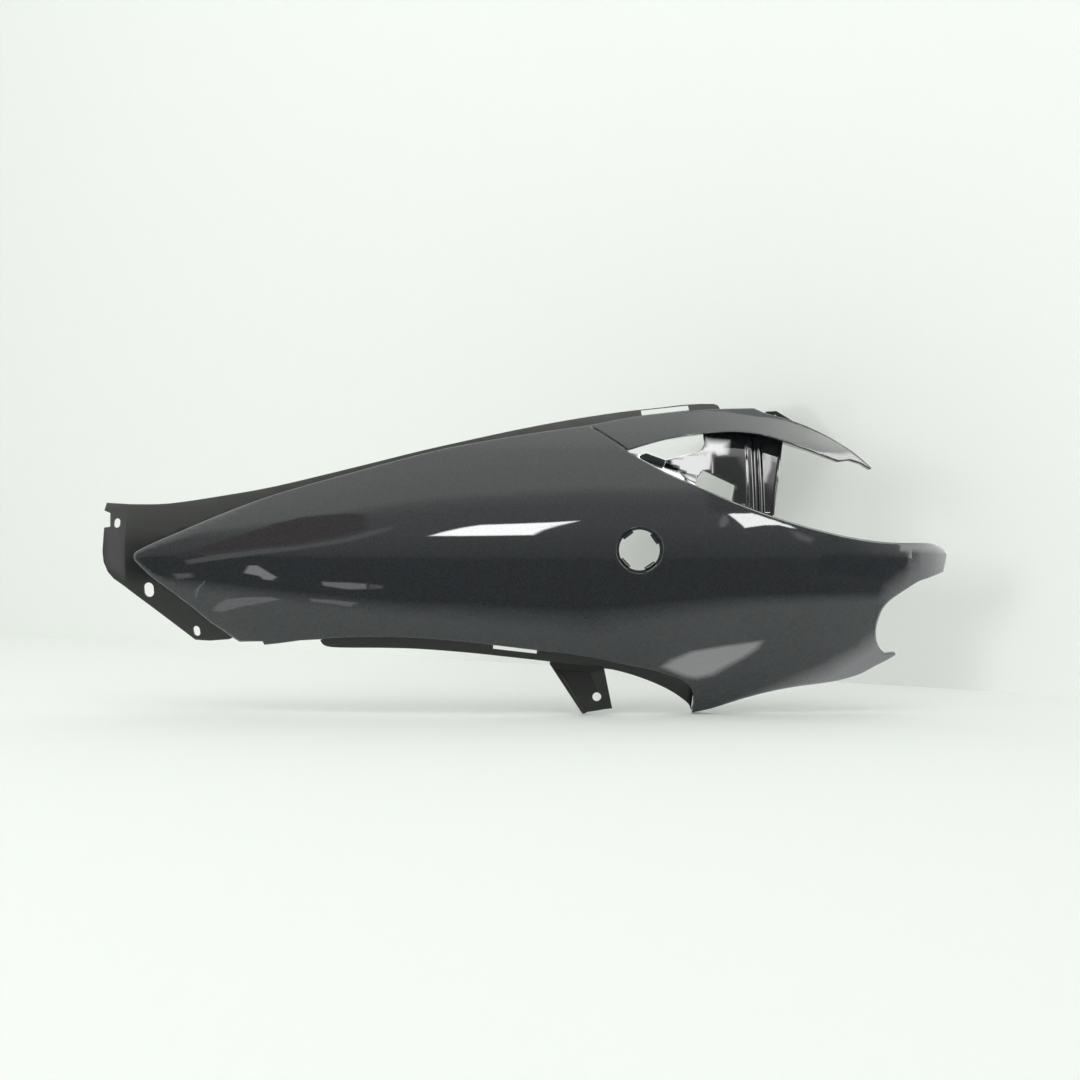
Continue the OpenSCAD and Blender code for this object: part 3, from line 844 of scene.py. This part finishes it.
class SubAssembly:
    """A part of the moulding that is built, dressed and fixed to the frame."""

    def dress(self, obj: bpy.types.Object, finish: Finish) -> bpy.types.Object:
        """Gives a piece its finish, fixes it to the root body and hides the CAD node.

        Args:
            obj: the piece.
            finish: its finish.

        Returns:
            The piece.
        """
        mat = bpy.data.materials.get(finish.name) or finish.material()
        obj.data.materials.clear()
        obj.data.materials.append(mat)
        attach(obj, "root")
        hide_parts(NODE)
        log.info("%s: %d faces, %s", obj.name, len(obj.data.polygons), finish.name)
        return obj


@dataclass
class PaintedSkin(SubAssembly):
    """The painted skin with its return lip, the opening for the seat and the moulded groove."""

    cell: float = 4.5
    roll: float = 1.3
    nose_roll: float = 4.2
    lip_t: float = 2.4
    seat_at: Point = (38.1, 138.2)
    seat_d: float = 45
    groove_w: float = 0.8
    groove_depth: float = 1.2

    def outline(self) -> list[Point]:
        """Returns the skin's outline, ringed the way round that faces the front."""
        line = (smooth_run(TOP_EDGE, 5) + [TOP_EDGE[-1]] + smooth_run(ARM_TOP, 5) + [ARM_TOP[-1]]
                + ARM_LOW + smooth_run(ARM_UNDER, 4) + [ARM_UNDER[-1]] + smooth_run(BODY_TOP, 4)
                + [BODY_TOP[-1]] + FIN_END + smooth_run(ARC_EDGE, 4) + [ARC_EDGE[-1]] + SPUR
                + smooth_run(REAR_LOW, 3) + [REAR_LOW[-1]] + smooth_run(SKIN_LOW, 3)
                + [SKIN_LOW[-1]] + STEP_LOW + NOSE_LOW)
        return line[::-1]

    def edge_radius(self, x: np.ndarray, z: np.ndarray) -> np.ndarray:
        """Returns the radius of the rolled edge, which is wider round the nose."""
        return self.roll + (self.nose_roll - self.roll) * ramp((-300 - x) / 60)

    def face(self, x: np.ndarray, z: np.ndarray) -> np.ndarray:
        """Returns the skin's depth with the groove pressed into it."""
        off = distance_to(GROOVE_LINE, x, z, False)
        return FORM.skin(x, z) + self.groove_depth * np.exp(-(off / self.groove_w) ** 2)

    def build(self) -> bpy.types.Object:
        """Builds and dresses the skin."""
        (ax, az), (bx, bz) = GROOVE_LINE[0], GROOVE_LINE[-1]
        length = math.hypot(bx - ax, bz - az)
        across = ((az - bz) / length, (bx - ax) / length)
        middle = ((ax + bx) / 2, (az + bz) / 2)
        slants = [((middle[0] + across[0] * k, middle[1] + across[1] * k), across)
                  for k in np.arange(-2.0, 3.01, 0.5)]
        skin = LippedPlate(
            name="painted_skin", outline=self.outline(), face=self.face, thick=FORM.wall,
            roll=self.edge_radius, rings=[0.2, 0.6, self.roll, self.lip_t],
            xs=np.arange(-436.3, 340, self.cell), zs=np.arange(-13.7, 276, self.cell),
            slants=slants, lip_t=self.lip_t).build()
        finish_shape(skin)
        bpy.ops.object.select_all(action="DESELECT")
        bpy.ops.mesh.primitive_cylinder_add(vertices=128, radius=self.seat_d / 2 * MM, depth=0.2,
                                            rotation=(math.pi / 2, 0, 0),
                                            location=(self.seat_at[0] * MM, 0, self.seat_at[1] * MM))
        tool = bpy.context.object
        bpy.ops.object.transform_apply(location=True, rotation=True, scale=True)
        cut_away(skin, tool)
        return self.dress(skin, PAINT)


@dataclass
class MountingFlange(SubAssembly):
    """The set-back flange in front, above and below, with its holes and slots."""

    cell: float = 9
    edge: float = 0.6

    def outlines(self) -> dict[str, list[Point]]:
        """Returns the outlines of the upper and the lower flange."""
        upper = (FLANGE_FRONT + moved(NOSE_LOW, 4, 1) + moved(TOP_EDGE[1:-1], 0, -3)
                 + FLANGE_END[::-1] + smooth_run(FLANGE_TOP[::-1], 3) + [FLANGE_TOP[0]])
        lower = smooth_run(FLANGE_LOW, 3) + [FLANGE_LOW[-1]] + moved(SKIN_LOW, 0, 3)
        return {"mounting_flange": upper, "lower_flange": lower}

    def build(self) -> list[bpy.types.Object]:
        """Builds and dresses both flanges."""
        pieces = []
        for name, outline in self.outlines().items():
            obj = Plate(name=name, outline=outline, face=FORM.flange, thick=FORM.wall,
                        roll=even(self.edge), rings=[0.2, self.edge],
                        xs=np.concatenate([[-447, -449], np.arange(-440, 130, self.cell)]),
                        zs=np.arange(-10, 280, self.cell)).build()
            finish_shape(obj)
            pieces.append(obj)
        upper, lower = pieces
        for at, size in [((-457.5, 163.6), (6.6, 9)), ((-425.4, 100.1), (9.6, 13.8)),
                         ((-382.2, 60.3), (6.6, 9.8))]:
            cut_away(upper, slot_tool(at, size))
        cut_away(upper, bar_tool((66, 271.2), 46, 5, 6.8))
        cut_away(lower, bar_tool((-76.7, 46), 41, 5, -6.4))
        return [self.dress(obj, SATIN) for obj in pieces]


@dataclass
class LampWeb(SubAssembly):
    """The folded web in the lamp opening, with its rim, ledge, clip and hook."""

    rim_h: float = 5
    rim_t: float = 2.4
    ledge_depth: float = 10
    clip_set: float = 5
    clip_depth: float = 10
    hook_set: float = 3
    hook_depth: float = 5

    def build(self) -> list[bpy.types.Object]:
        """Builds and dresses the web and what goes with it."""
        web = Plate(name="lamp_web", outline=WEB_LINE, face=FORM.web, thick=FORM.wall, roll=even(0.5),
                    rings=[0.15, 0.5],
                    xs=np.concatenate([np.arange(66, 138, 3), np.arange(139, 158, 0.5),
                                       np.arange(160, 178, 3)]),
                    zs=np.arange(170, 252, 4)).build()
        finish_shape(web, 50)
        rim = rail("web_rim", [
            [(x, y - self.rim_h, z), (x + self.rim_t, y - self.rim_h, z),
             (x + self.rim_t, y + FORM.wall, z), (x, y + FORM.wall, z)]
            for x, z, y in self.placed(WEB_RIM, FORM.web)], edge=1.1)
        sections = []
        for (ax, az), (bx, bz) in zip(LEDGE_OUT, LEDGE_IN):
            a = float(FORM.skin(np.array(ax), np.array(az))) + 0.8
            b = float(FORM.skin(np.array(bx), np.array(bz))) + self.ledge_depth
            sections.append([(ax, a, az), (bx, b, bz), (bx, b + FORM.wall, bz),
                             (ax, a + FORM.wall, az)])
        ledge = rail("opening_ledge", sections, edge=0.3)
        pieces = [web, rim, ledge]
        for name, line, back, deep in (("opening_clip", CLIP_LINE, self.clip_set, self.clip_depth),
                                       ("arm_hook", HOOK_LINE, self.hook_set, self.hook_depth)):
            y = float(FORM.skin(np.array(line[2][0]), np.array(line[2][1]))) + back
            pieces.append(block(name, line, y, y + deep))
        return [self.dress(obj, GLOSS) for obj in pieces]

    def placed(self, points: Sequence[Point], face: Depth) -> list[tuple[float, float, float]]:
        """Returns points with their depth behind them, as length, height and depth."""
        return [(x, z, float(face(np.array(x), np.array(z)))) for x, z in points]


@dataclass
class CapSeat(SubAssembly):
    """The round recessed seat with its four snap tabs."""

    at: Point = (38.1, 138.2)
    diameter: float = 45
    depth: float = 5
    bore_d: float = 37.4
    reach: float = 2.8
    snap_w: float = 11
    turns: tuple[float, ...] = (36, 127, 223, 304)
    ridged: tuple[float, ...] = (223, 304)
    ridge_at: tuple[float, ...] = (17.4, 20.6)
    ridge_w: float = 0.55
    ridge_h: float = 3.2
    ridge_sweep: float = 32

    def build(self) -> list[bpy.types.Object]:
        """Builds and dresses the seat and its tabs, and its ridges in a pale colour that paints their
        highlights.
        """
        front = float(FORM.skin(np.array(self.at[0]), np.array(self.at[1])))
        centre = (self.at[0], front, self.at[1])
        r, b = self.diameter / 2, self.bore_d / 2
        wall = FORM.wall
        seat = turned("cap_seat", centre, [
            (r + 0.15, 0.25), (r - 0.3, 0.05), (r - 0.75, 0.2), (r - 1.0, 0.7),
            (r - 1.05, self.depth - 0.4), (r - 1.4, self.depth), (b + 0.3, self.depth),
            (b, self.depth + 0.3), (b, self.depth + wall), (r + wall, self.depth + wall),
            (r + wall, wall), (r + 0.15, wall)], steps=96)
        self.follow(seat, front)
        pieces = [seat]
        near, far = front + self.depth, front + self.depth + wall
        for i, turn in enumerate(self.turns):
            c, d = math.cos(math.radians(turn)), math.sin(math.radians(turn))
            half = self.snap_w / 2
            corners = [(b - self.reach, -half), (b + 1.2, -half), (b + 1.2, half),
                       (b - self.reach, half)]
            outline = [(self.at[0] + u * c - v * d, self.at[1] + u * d + v * c) for u, v in corners]
            pieces.append(block(f"snap_tab_{i + 1}", outline, near, far, edge=0.35))
        ridges = [self.ridge(f"seat_ridge_{turn}_{k + 1}", centre, r, turn)
                  for turn in self.ridged for k, r in enumerate(self.ridge_at)]
        # The ridges get the pale grey that paints their highlights.
        return ([self.dress(obj, PAINT) for obj in pieces]
                + [self.dress(obj, PAINTED_RIDGE_HIGHLIGHT) for obj in ridges])

    def ridge(self, name: str, centre: tuple[float, float, float], r: float, turn: float
              ) -> bpy.types.Object:
        """Spins a low rounded ridge on the seat's floor, above a lower tab.

        Args:
            name: its name.
            centre: the seat's middle at the skin.
            r: its inner radius.
            turn: where its middle lies, in degrees.

        Returns:
            The ridge as a closed shell.
        """
        top, foot, w = self.depth - self.ridge_h, self.depth + 0.2, self.ridge_w
        return turned(name, centre, [
            (r, foot), (r, top + 0.3), (r + 0.12, top + 0.08), (r + w / 2, top),
            (r + w - 0.12, top + 0.08), (r + w, top + 0.3), (r + w, foot)],
            steps=16, start=turn - self.ridge_sweep / 2, sweep=self.ridge_sweep)

    def follow(self, obj: bpy.types.Object, front: float) -> None:
        """Lets the seat's outer edge follow the curve of the skin."""
        co = coordinates(obj)
        fade = np.clip(1 - (co[:, 1] - front) / self.depth, 0, 1)
        co[:, 1] += (FORM.skin(co[:, 0], co[:, 2]) - front) * fade
        put(obj, co)


@dataclass
class LowerTab(SubAssembly):
    """The channel-shaped tab that carries the lower fixing hole."""

    rib: float = 3.4
    rib_t: float = 3.4
    lip: float = 4
    hole_d: float = 8.2

    def build(self) -> list[bpy.types.Object]:
        """Builds and dresses the tab."""
        wall = FORM.wall
        plate = block("lower_tab", TAB_LINE, 0, wall, edge=0.35)
        step = float(FORM.flange(np.array(-20.0), np.array(32.0))) + 0.5
        root = block("tab_root", TAB_ROOT, step, wall, edge=0.35)
        left = rail("tab_rib", [[(x - 0.4, -self.rib, z), (x + self.rib_t, -self.rib, z + 1),
                                 (x + self.rib_t, wall - 0.5, z + 1), (x - 0.4, wall - 0.5, z)]
                                for x, z in TAB_LEFT], edge=0.5)
        right = rail("tab_lip", [[(ax - 1, 0.3, az), (bx, -self.lip, bz),
                                  (bx, wall - self.lip, bz), (ax - 1, wall - 0.3, az)]
                                 for (ax, az), (bx, bz) in zip(TAB_FOLD, TAB_RIGHT)], edge=0.4)
        for obj in (plate, right):
            cut_away(obj, slot_tool((0, 0), (self.hole_d, self.hole_d)))
        return [self.dress(obj, SATIN) for obj in (plate, root, left, right)]


# ---------------------------------------------------------------- studio


@dataclass(frozen=True)
class Card:
    """A studio card that only gloss surfaces see: a light one, or a black one to keep light off.

    Attributes:
        name: its name.
        outline: its corners, in millimetres.
        strength: how bright it is; 0 is black.
        soft: how wide its fading edge is, in millimetres.
        tint: its colour.
    """

    name: str
    outline: tuple[tuple[float, float, float], ...]
    strength: float
    soft: float = 0.0
    tint: tuple[float, float, float] = (1.0, 1.0, 1.0)

    def material(self) -> bpy.types.Material:
        """Makes the card's glow, which fades at the edge and is seen from the front alone."""
        mat = bpy.data.materials.new(self.name)
        mat.use_nodes = True
        tree = mat.node_tree
        tree.nodes.remove(tree.nodes["Principled BSDF"])
        glow = tree.nodes.new("ShaderNodeEmission")
        glow.inputs["Color"].default_value = (*self.tint, 1)
        glow.inputs["Strength"].default_value = self.strength
        clear = tree.nodes.new("ShaderNodeBsdfTransparent")
        mix = tree.nodes.new("ShaderNodeMixShader")
        side = tree.nodes.new("ShaderNodeNewGeometry")
        front = number(tree, "SUBTRACT", 1.0, side.outputs["Backfacing"])
        shown = front
        if self.soft:
            edge = tree.nodes.new("ShaderNodeAttribute")
            edge.attribute_name = "glow"
            shown = number(tree, "MULTIPLY", front, edge.outputs["Fac"])
        tree.links.new(shown, mix.inputs["Fac"])
        tree.links.new(clear.outputs[0], mix.inputs[1])
        tree.links.new(glow.outputs[0], mix.inputs[2])
        tree.links.new(mix.outputs[0], tree.nodes["Material Output"].inputs["Surface"])
        return mat

    def build(self) -> bpy.types.Object:
        """Makes the card and puts it on the stage."""
        bpy.ops.object.select_all(action="DESELECT")
        bpy.ops.mesh.primitive_circle_add(vertices=len(self.outline), radius=0.1, fill_type="NGON")
        obj = bpy.context.object
        obj.name = self.name
        put(obj, np.array(self.outline))
        if self.soft:
            bpy.ops.object.mode_set(mode="EDIT")
            bpy.ops.mesh.select_all(action="SELECT")
            bpy.ops.mesh.inset(thickness=self.soft * MM, depth=0, use_boundary=True)
            bpy.ops.object.mode_set(mode="OBJECT")
            inner = np.arange(len(obj.data.vertices)) >= len(self.outline)
            glow = obj.data.attributes.new("glow", "FLOAT", "POINT")
            glow.data.foreach_set("value", inner.astype(np.float32))
        obj.data.materials.append(self.material())
        obj.visible_camera = obj.visible_diffuse = obj.visible_shadow = False
        obj.visible_transmission = obj.visible_volume_scatter = False
        return obj


def upright(points: Sequence[Point], depth: float) -> tuple[tuple[float, float, float], ...]:
    """Returns points of length and height at one depth, the way round that faces the panel."""
    area = sum(a[0] * b[1] - b[0] * a[1] for a, b in zip(points, [*points[1:], points[0]]))
    return tuple((x, depth, z) for x, z in (points if area < 0 else points[::-1]))


def level(points: Sequence[Point], height: float) -> tuple[tuple[float, float, float], ...]:
    """Returns points of length and depth at one height, the way round that faces upwards."""
    area = sum(a[0] * b[1] - b[0] * a[1] for a, b in zip(points, [*points[1:], points[0]]))
    return tuple((x, y, height) for x, y in (points if area > 0 else points[::-1]))


@dataclass
class Studio:
    """The pale floor and wall, the soft light, the cards and the camera."""

    floor_z: float = -16.5
    camera_at: tuple[float, float, float] = (-53.4, -1500, 147.4)
    view_w: float = 1015.2
    wall_at: Point = (-228, 738.5)
    wall_turn: float = -37.5
    wall_top: float = 1900
    flag_off: float = 45
    pale: tuple[float, float, float] = (0.86, 0.885, 0.855)
    window: tuple[Point, ...] = ((-795, 570), (-725, 678), (-628, 786), (-531, 861), (-388, 885),
                                 (-198, 921), (-80, 959), (-47, 964), (-80, 907), (-151, 818),
                                 (-221, 704), (-267, 579), (-432, 567), (-623, 557))
    side_window: tuple[Point, ...] = ((1034, 1151), (1095, 1182), (1285, 1178), (1361, 1114),
                                      (1507, 985), (1658, 857), (1739, 766), (1653, 789),
                                      (1529, 864), (1393, 858), (1238, 799), (1177, 771),
                                      (1161, 836), (1101, 993))
    floor_light: tuple[Point, ...] = ((61.3, -58.1), (74.8, -73.5), (102.5, -92.7), (140.4, -102.6),
                                      (179.8, -109.2), (202.8, -111.7), (183.9, -83.7),
                                      (159.8, -64.2), (139.3, -50.9), (119.9, -37.4),
                                      (100.2, -32.7), (88.4, -36.6), (76.0, -45.3))

    def surface(self, name: str, one_sided: bool) -> bpy.types.Material:
        """Makes the floor's or the wall's material.

        Args:
            name: its name.
            one_sided: whether it is seen from its front alone.

        Returns:
            The material.
        """
        mat = bpy.data.materials.new(name)
        mat.use_nodes = True
        tree = mat.node_tree
        shader = tree.nodes["Principled BSDF"]
        shader.inputs["Base Color"].default_value = (*self.pale, 1)
        shader.inputs["Roughness"].default_value = 0.4
        shader.inputs["Specular IOR Level"].default_value = 0.0
        if one_sided:
            clear = tree.nodes.new("ShaderNodeBsdfTransparent")
            mix = tree.nodes.new("ShaderNodeMixShader")
            side = tree.nodes.new("ShaderNodeNewGeometry")
            tree.links.new(side.outputs["Backfacing"], mix.inputs["Fac"])
            tree.links.new(shader.outputs[0], mix.inputs[1])
            tree.links.new(clear.outputs[0], mix.inputs[2])
            tree.links.new(mix.outputs[0], tree.nodes["Material Output"].inputs["Surface"])
        return mat

    def stage(self) -> None:
        """Builds the floor and the wall."""
        bpy.ops.object.select_all(action="DESELECT")
        bpy.ops.mesh.primitive_plane_add(size=8, location=(0, 0, self.floor_z * MM))
        floor = bpy.context.object
        floor.name = "floor"
        floor.data.materials.append(self.surface("pale_floor", False))
        bpy.ops.object.select_all(action="DESELECT")
        bpy.ops.mesh.primitive_plane_add(size=9, location=(self.wall_at[0] * MM,
                                                           self.wall_at[1] * MM, 0),
                                         rotation=(math.pi / 2, 0, math.radians(self.wall_turn)))
        wall = bpy.context.object
        wall.name = "wall"
        bpy.ops.object.transform_apply(location=True, rotation=True, scale=True)
        co = coordinates(wall)
        co[:, 2] = np.clip(co[:, 2], self.floor_z - 50, self.wall_top)
        put(wall, co)
        wall.data.materials.append(self.surface("pale_wall", True))

    def flag(self) -> None:
        """Hangs a thin flag before the wall, out of the camera's sight, that shades it softly."""
        bpy.ops.object.select_all(action="DESELECT")
        bpy.ops.mesh.primitive_circle_add(vertices=len(FLAG), radius=0.1, fill_type="NGON")
        flag = bpy.context.object
        flag.name = "shade_flag"
        turn = math.radians(self.wall_turn)
        along, out = (math.cos(turn), math.sin(turn)), (math.sin(turn), -math.cos(turn))
        put(flag, np.array([(self.wall_at[0] + x * along[0] + self.flag_off * out[0],
                             self.wall_at[1] + x * along[1] + self.flag_off * out[1], z)
                            for x, z in FLAG]))
        mat = bpy.data.materials.new("shade_flag")
        mat.use_nodes = True
        shader = mat.node_tree.nodes["Principled BSDF"]
        shader.inputs["Base Color"].default_value = (0.3, 0.3, 0.28, 1)
        shader.inputs["Alpha"].default_value = 0.6
        flag.data.materials.append(mat)
        flag.visible_camera = flag.visible_glossy = False

    def cards(self) -> None:
        """Builds the cards that shape the reflections, from those far off to those close by."""
        Card("window_card", upright(self.window, -3000), 17, 30).build()
        Card("side_window_card", upright(self.side_window, -3000), 14.5, 22).build()
        Card("side_window_pane_a", upright(SIDE_PANE_A, -3000), 1.6, 55).build()
        Card("side_window_pane_b", upright(SIDE_PANE_B, -3000), 1.2, 90).build()
        Card("lamp_card", upright(LAMP_CARD, -1200), 10, 130).build()
        Card("lamp_top_card", upright(LAMP_TOP, -1205), 11, 60).build()
        Card("lamp_patch_card", upright(LAMP_PATCH, -1210), 7, 18).build()
        Card("warm_card", upright(WARM_CARD, -520), 0.34, 16, (1.0, 0.70, 0.62)).build()
        Card("pale_line_card", upright(PALE_LINE, -500), 0.85, 8).build()
        Card("lamp_shade_card", upright(LAMP_SHADE, -1150), 0.3, 45).build()
        Card("side_shade_card", tuple((452, y, z) for y, z in SIDE_SHADE), 0.05, 16).build()
        Card("side_glow_card", tuple((451, y, z) for y, z in SIDE_GLOW), 1.9, 42).build()
        Card("side_top_card", tuple((450, y, z) for y, z in SIDE_TOP), 3.7, 9).build()
        Card("under_arm_card", tuple(UNDER_ARM), 10, 2).build()
        Card("over_web_card", tuple(OVER_WEB), 11, 9).build()
        Card("beside_tab_card", upright(BESIDE_TAB, -60), 1.9, 20).build()
        Card("floor_glow_card", level(FLOOR_GLOW, -12.5), 3.0, 26).build()
        Card("floor_light_card", level(self.floor_light, -12), 3.6, 9).build()
        for name, points, depth, glow, soft in NEAR_CARDS:
            Card(name, upright(points, depth), glow, soft).build()
        for name, points, glow, soft in FLOOR_CARDS:
            Card(name, level(points, -11), glow, soft).build()
        Card("black_card", level(BLACK_CARD, -14), 0.12, 120).build()

    def lamp(self, name: str, at: tuple[float, float, float], aim: tuple[float, float, float],
             size: tuple[float, float], power: float) -> bpy.types.Object:
        """Adds one soft lamp.

        Args:
            name: its name.
            at: its place in metres.
            aim: the point that it faces.
            size: its width and height in metres.
            power: its power in watts.

        Returns:
            The lamp.
        """
        data = bpy.data.lights.new(name, "AREA")
        data.shape = "RECTANGLE"
        data.size, data.size_y = size
        data.energy = power
        lamp = bpy.data.objects.new(name, data)
        bpy.context.scene.collection.objects.link(lamp)
        lamp.location = at
        lamp.rotation_euler = (Vector(aim) - Vector(at)).to_track_quat("-Z", "Y").to_euler()
        lamp.visible_glossy = False
        return lamp

    def room(self, tree: bpy.types.NodeTree) -> bpy.types.NodeSocket:
        """Draws the room that gloss surfaces mirror: light above and to the right, dark ahead.

        Args:
            tree: the world's nodes.

        Returns:
            The room's brightness.
        """
        way = tree.nodes.new("ShaderNodeTexCoord")
        split = tree.nodes.new("ShaderNodeSeparateXYZ")
        tree.links.new(way.outputs["Generated"], split.inputs[0])
        across, up = split.outputs["X"], split.outputs["Z"]
        height = tree.nodes.new("ShaderNodeValToRGB")
        left = number(tree, "MINIMUM", across, 0.0)
        tree.links.new(number(tree, "MULTIPLY_ADD", left, -0.33, up), height.inputs["Fac"])
        bands = height.color_ramp.elements
        bands[0].position, bands[0].color = 0.0, (0.13, 0.13, 0.14, 1)
        bands[1].position, bands[1].color = 1.0, (0.9, 0.9, 0.9, 1)
        for place, glow in ((0.10, 0.16), (0.22, 0.23), (0.38, 0.27), (0.45, 0.38), (0.51, 0.64),
                            (0.62, 0.69), (0.76, 0.76), (0.87, 0.86)):
            band = bands.new(place)
            band.color = (glow, glow, glow, 1)
        leaning = number(tree, "MULTIPLY_ADD", number(tree, "ABSOLUTE", up), 0.48, across)
        side = tree.nodes.new("ShaderNodeValToRGB")
        tree.links.new(leaning, side.inputs["Fac"])
        steps = side.color_ramp.elements
        steps[0].position, steps[0].color = 0.60, (0, 0, 0, 1)
        steps[1].position, steps[1].color = 0.88, (1, 1, 1, 1)
        for place, glow in ((0.67, 0.08), (0.73, 0.2), (0.80, 0.5), (0.83, 0.8)):
            step = steps.new(place)
            step.color = (glow, glow, glow, 1)
        main = number(tree, "MULTIPLY", height.outputs["Color"], 1.87)
        return number(tree, "MULTIPLY_ADD", side.outputs["Color"], 5.0, main)

    def lights(self) -> None:
        """Builds the lamp and the world."""
        self.lamp("overhead", (-0.7, -0.7, 2.2), (0, 0, 0.1), (2.6, 1.8), 11.5)
        self.lamp("front", (-1.5, -2.6, 0.55), (0, 0, 0.1), (0.6, 0.6), 14)
        world = bpy.data.worlds.new("studio")
        bpy.context.scene.world = world
        world.use_nodes = True
        tree = world.node_tree
        soft = tree.nodes["Background"]
        soft.inputs["Color"].default_value = (0.985, 1.0, 0.985, 1)
        soft.inputs["Strength"].default_value = 0.86
        mirrored = tree.nodes.new("ShaderNodeBackground")
        mirrored.inputs["Color"].default_value = (0.98, 1.0, 0.96, 1)
        tree.links.new(self.room(tree), mirrored.inputs["Strength"])
        plain = tree.nodes.new("ShaderNodeBackground")
        plain.inputs["Color"].default_value = (*self.pale, 1)
        ray = tree.nodes.new("ShaderNodeLightPath")
        gloss = tree.nodes.new("ShaderNodeMixShader")
        tree.links.new(ray.outputs["Is Glossy Ray"], gloss.inputs["Fac"])
        tree.links.new(soft.outputs[0], gloss.inputs[1])
        tree.links.new(mirrored.outputs[0], gloss.inputs[2])
        seen = tree.nodes.new("ShaderNodeMixShader")
        tree.links.new(ray.outputs["Is Camera Ray"], seen.inputs["Fac"])
        tree.links.new(gloss.outputs[0], seen.inputs[1])
        tree.links.new(plain.outputs[0], seen.inputs[2])
        tree.links.new(seen.outputs[0], tree.nodes["World Output"].inputs["Surface"])

    def camera(self) -> None:
        """Places the camera level, square to the panel."""
        data = bpy.data.cameras.new("camera")
        data.sensor_width = 36
        data.lens = 36 * -self.camera_at[1] / self.view_w
        data.clip_end = 50
        cam = bpy.data.objects.new("camera", data)
        bpy.context.scene.collection.objects.link(cam)
        cam.location = Vector(self.camera_at) * MM
        cam.rotation_euler = (math.pi / 2, 0, 0)
        bpy.context.scene.camera = cam

    def build(self) -> None:
        """Builds the whole studio."""
        self.stage()
        self.flag()
        self.cards()
        self.lights()
        self.camera()
        bpy.context.scene.view_settings.view_transform = "Standard"


def main() -> None:
    """Builds the panel and its studio."""
    flake_group()
    handling_group()
    peel_group()
    PaintedSkin().build()
    MountingFlange().build()
    LampWeb().build()
    CapSeat().build()
    LowerTab().build()
    Studio().build()
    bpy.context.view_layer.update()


if __name__ == "__main__":
    main()
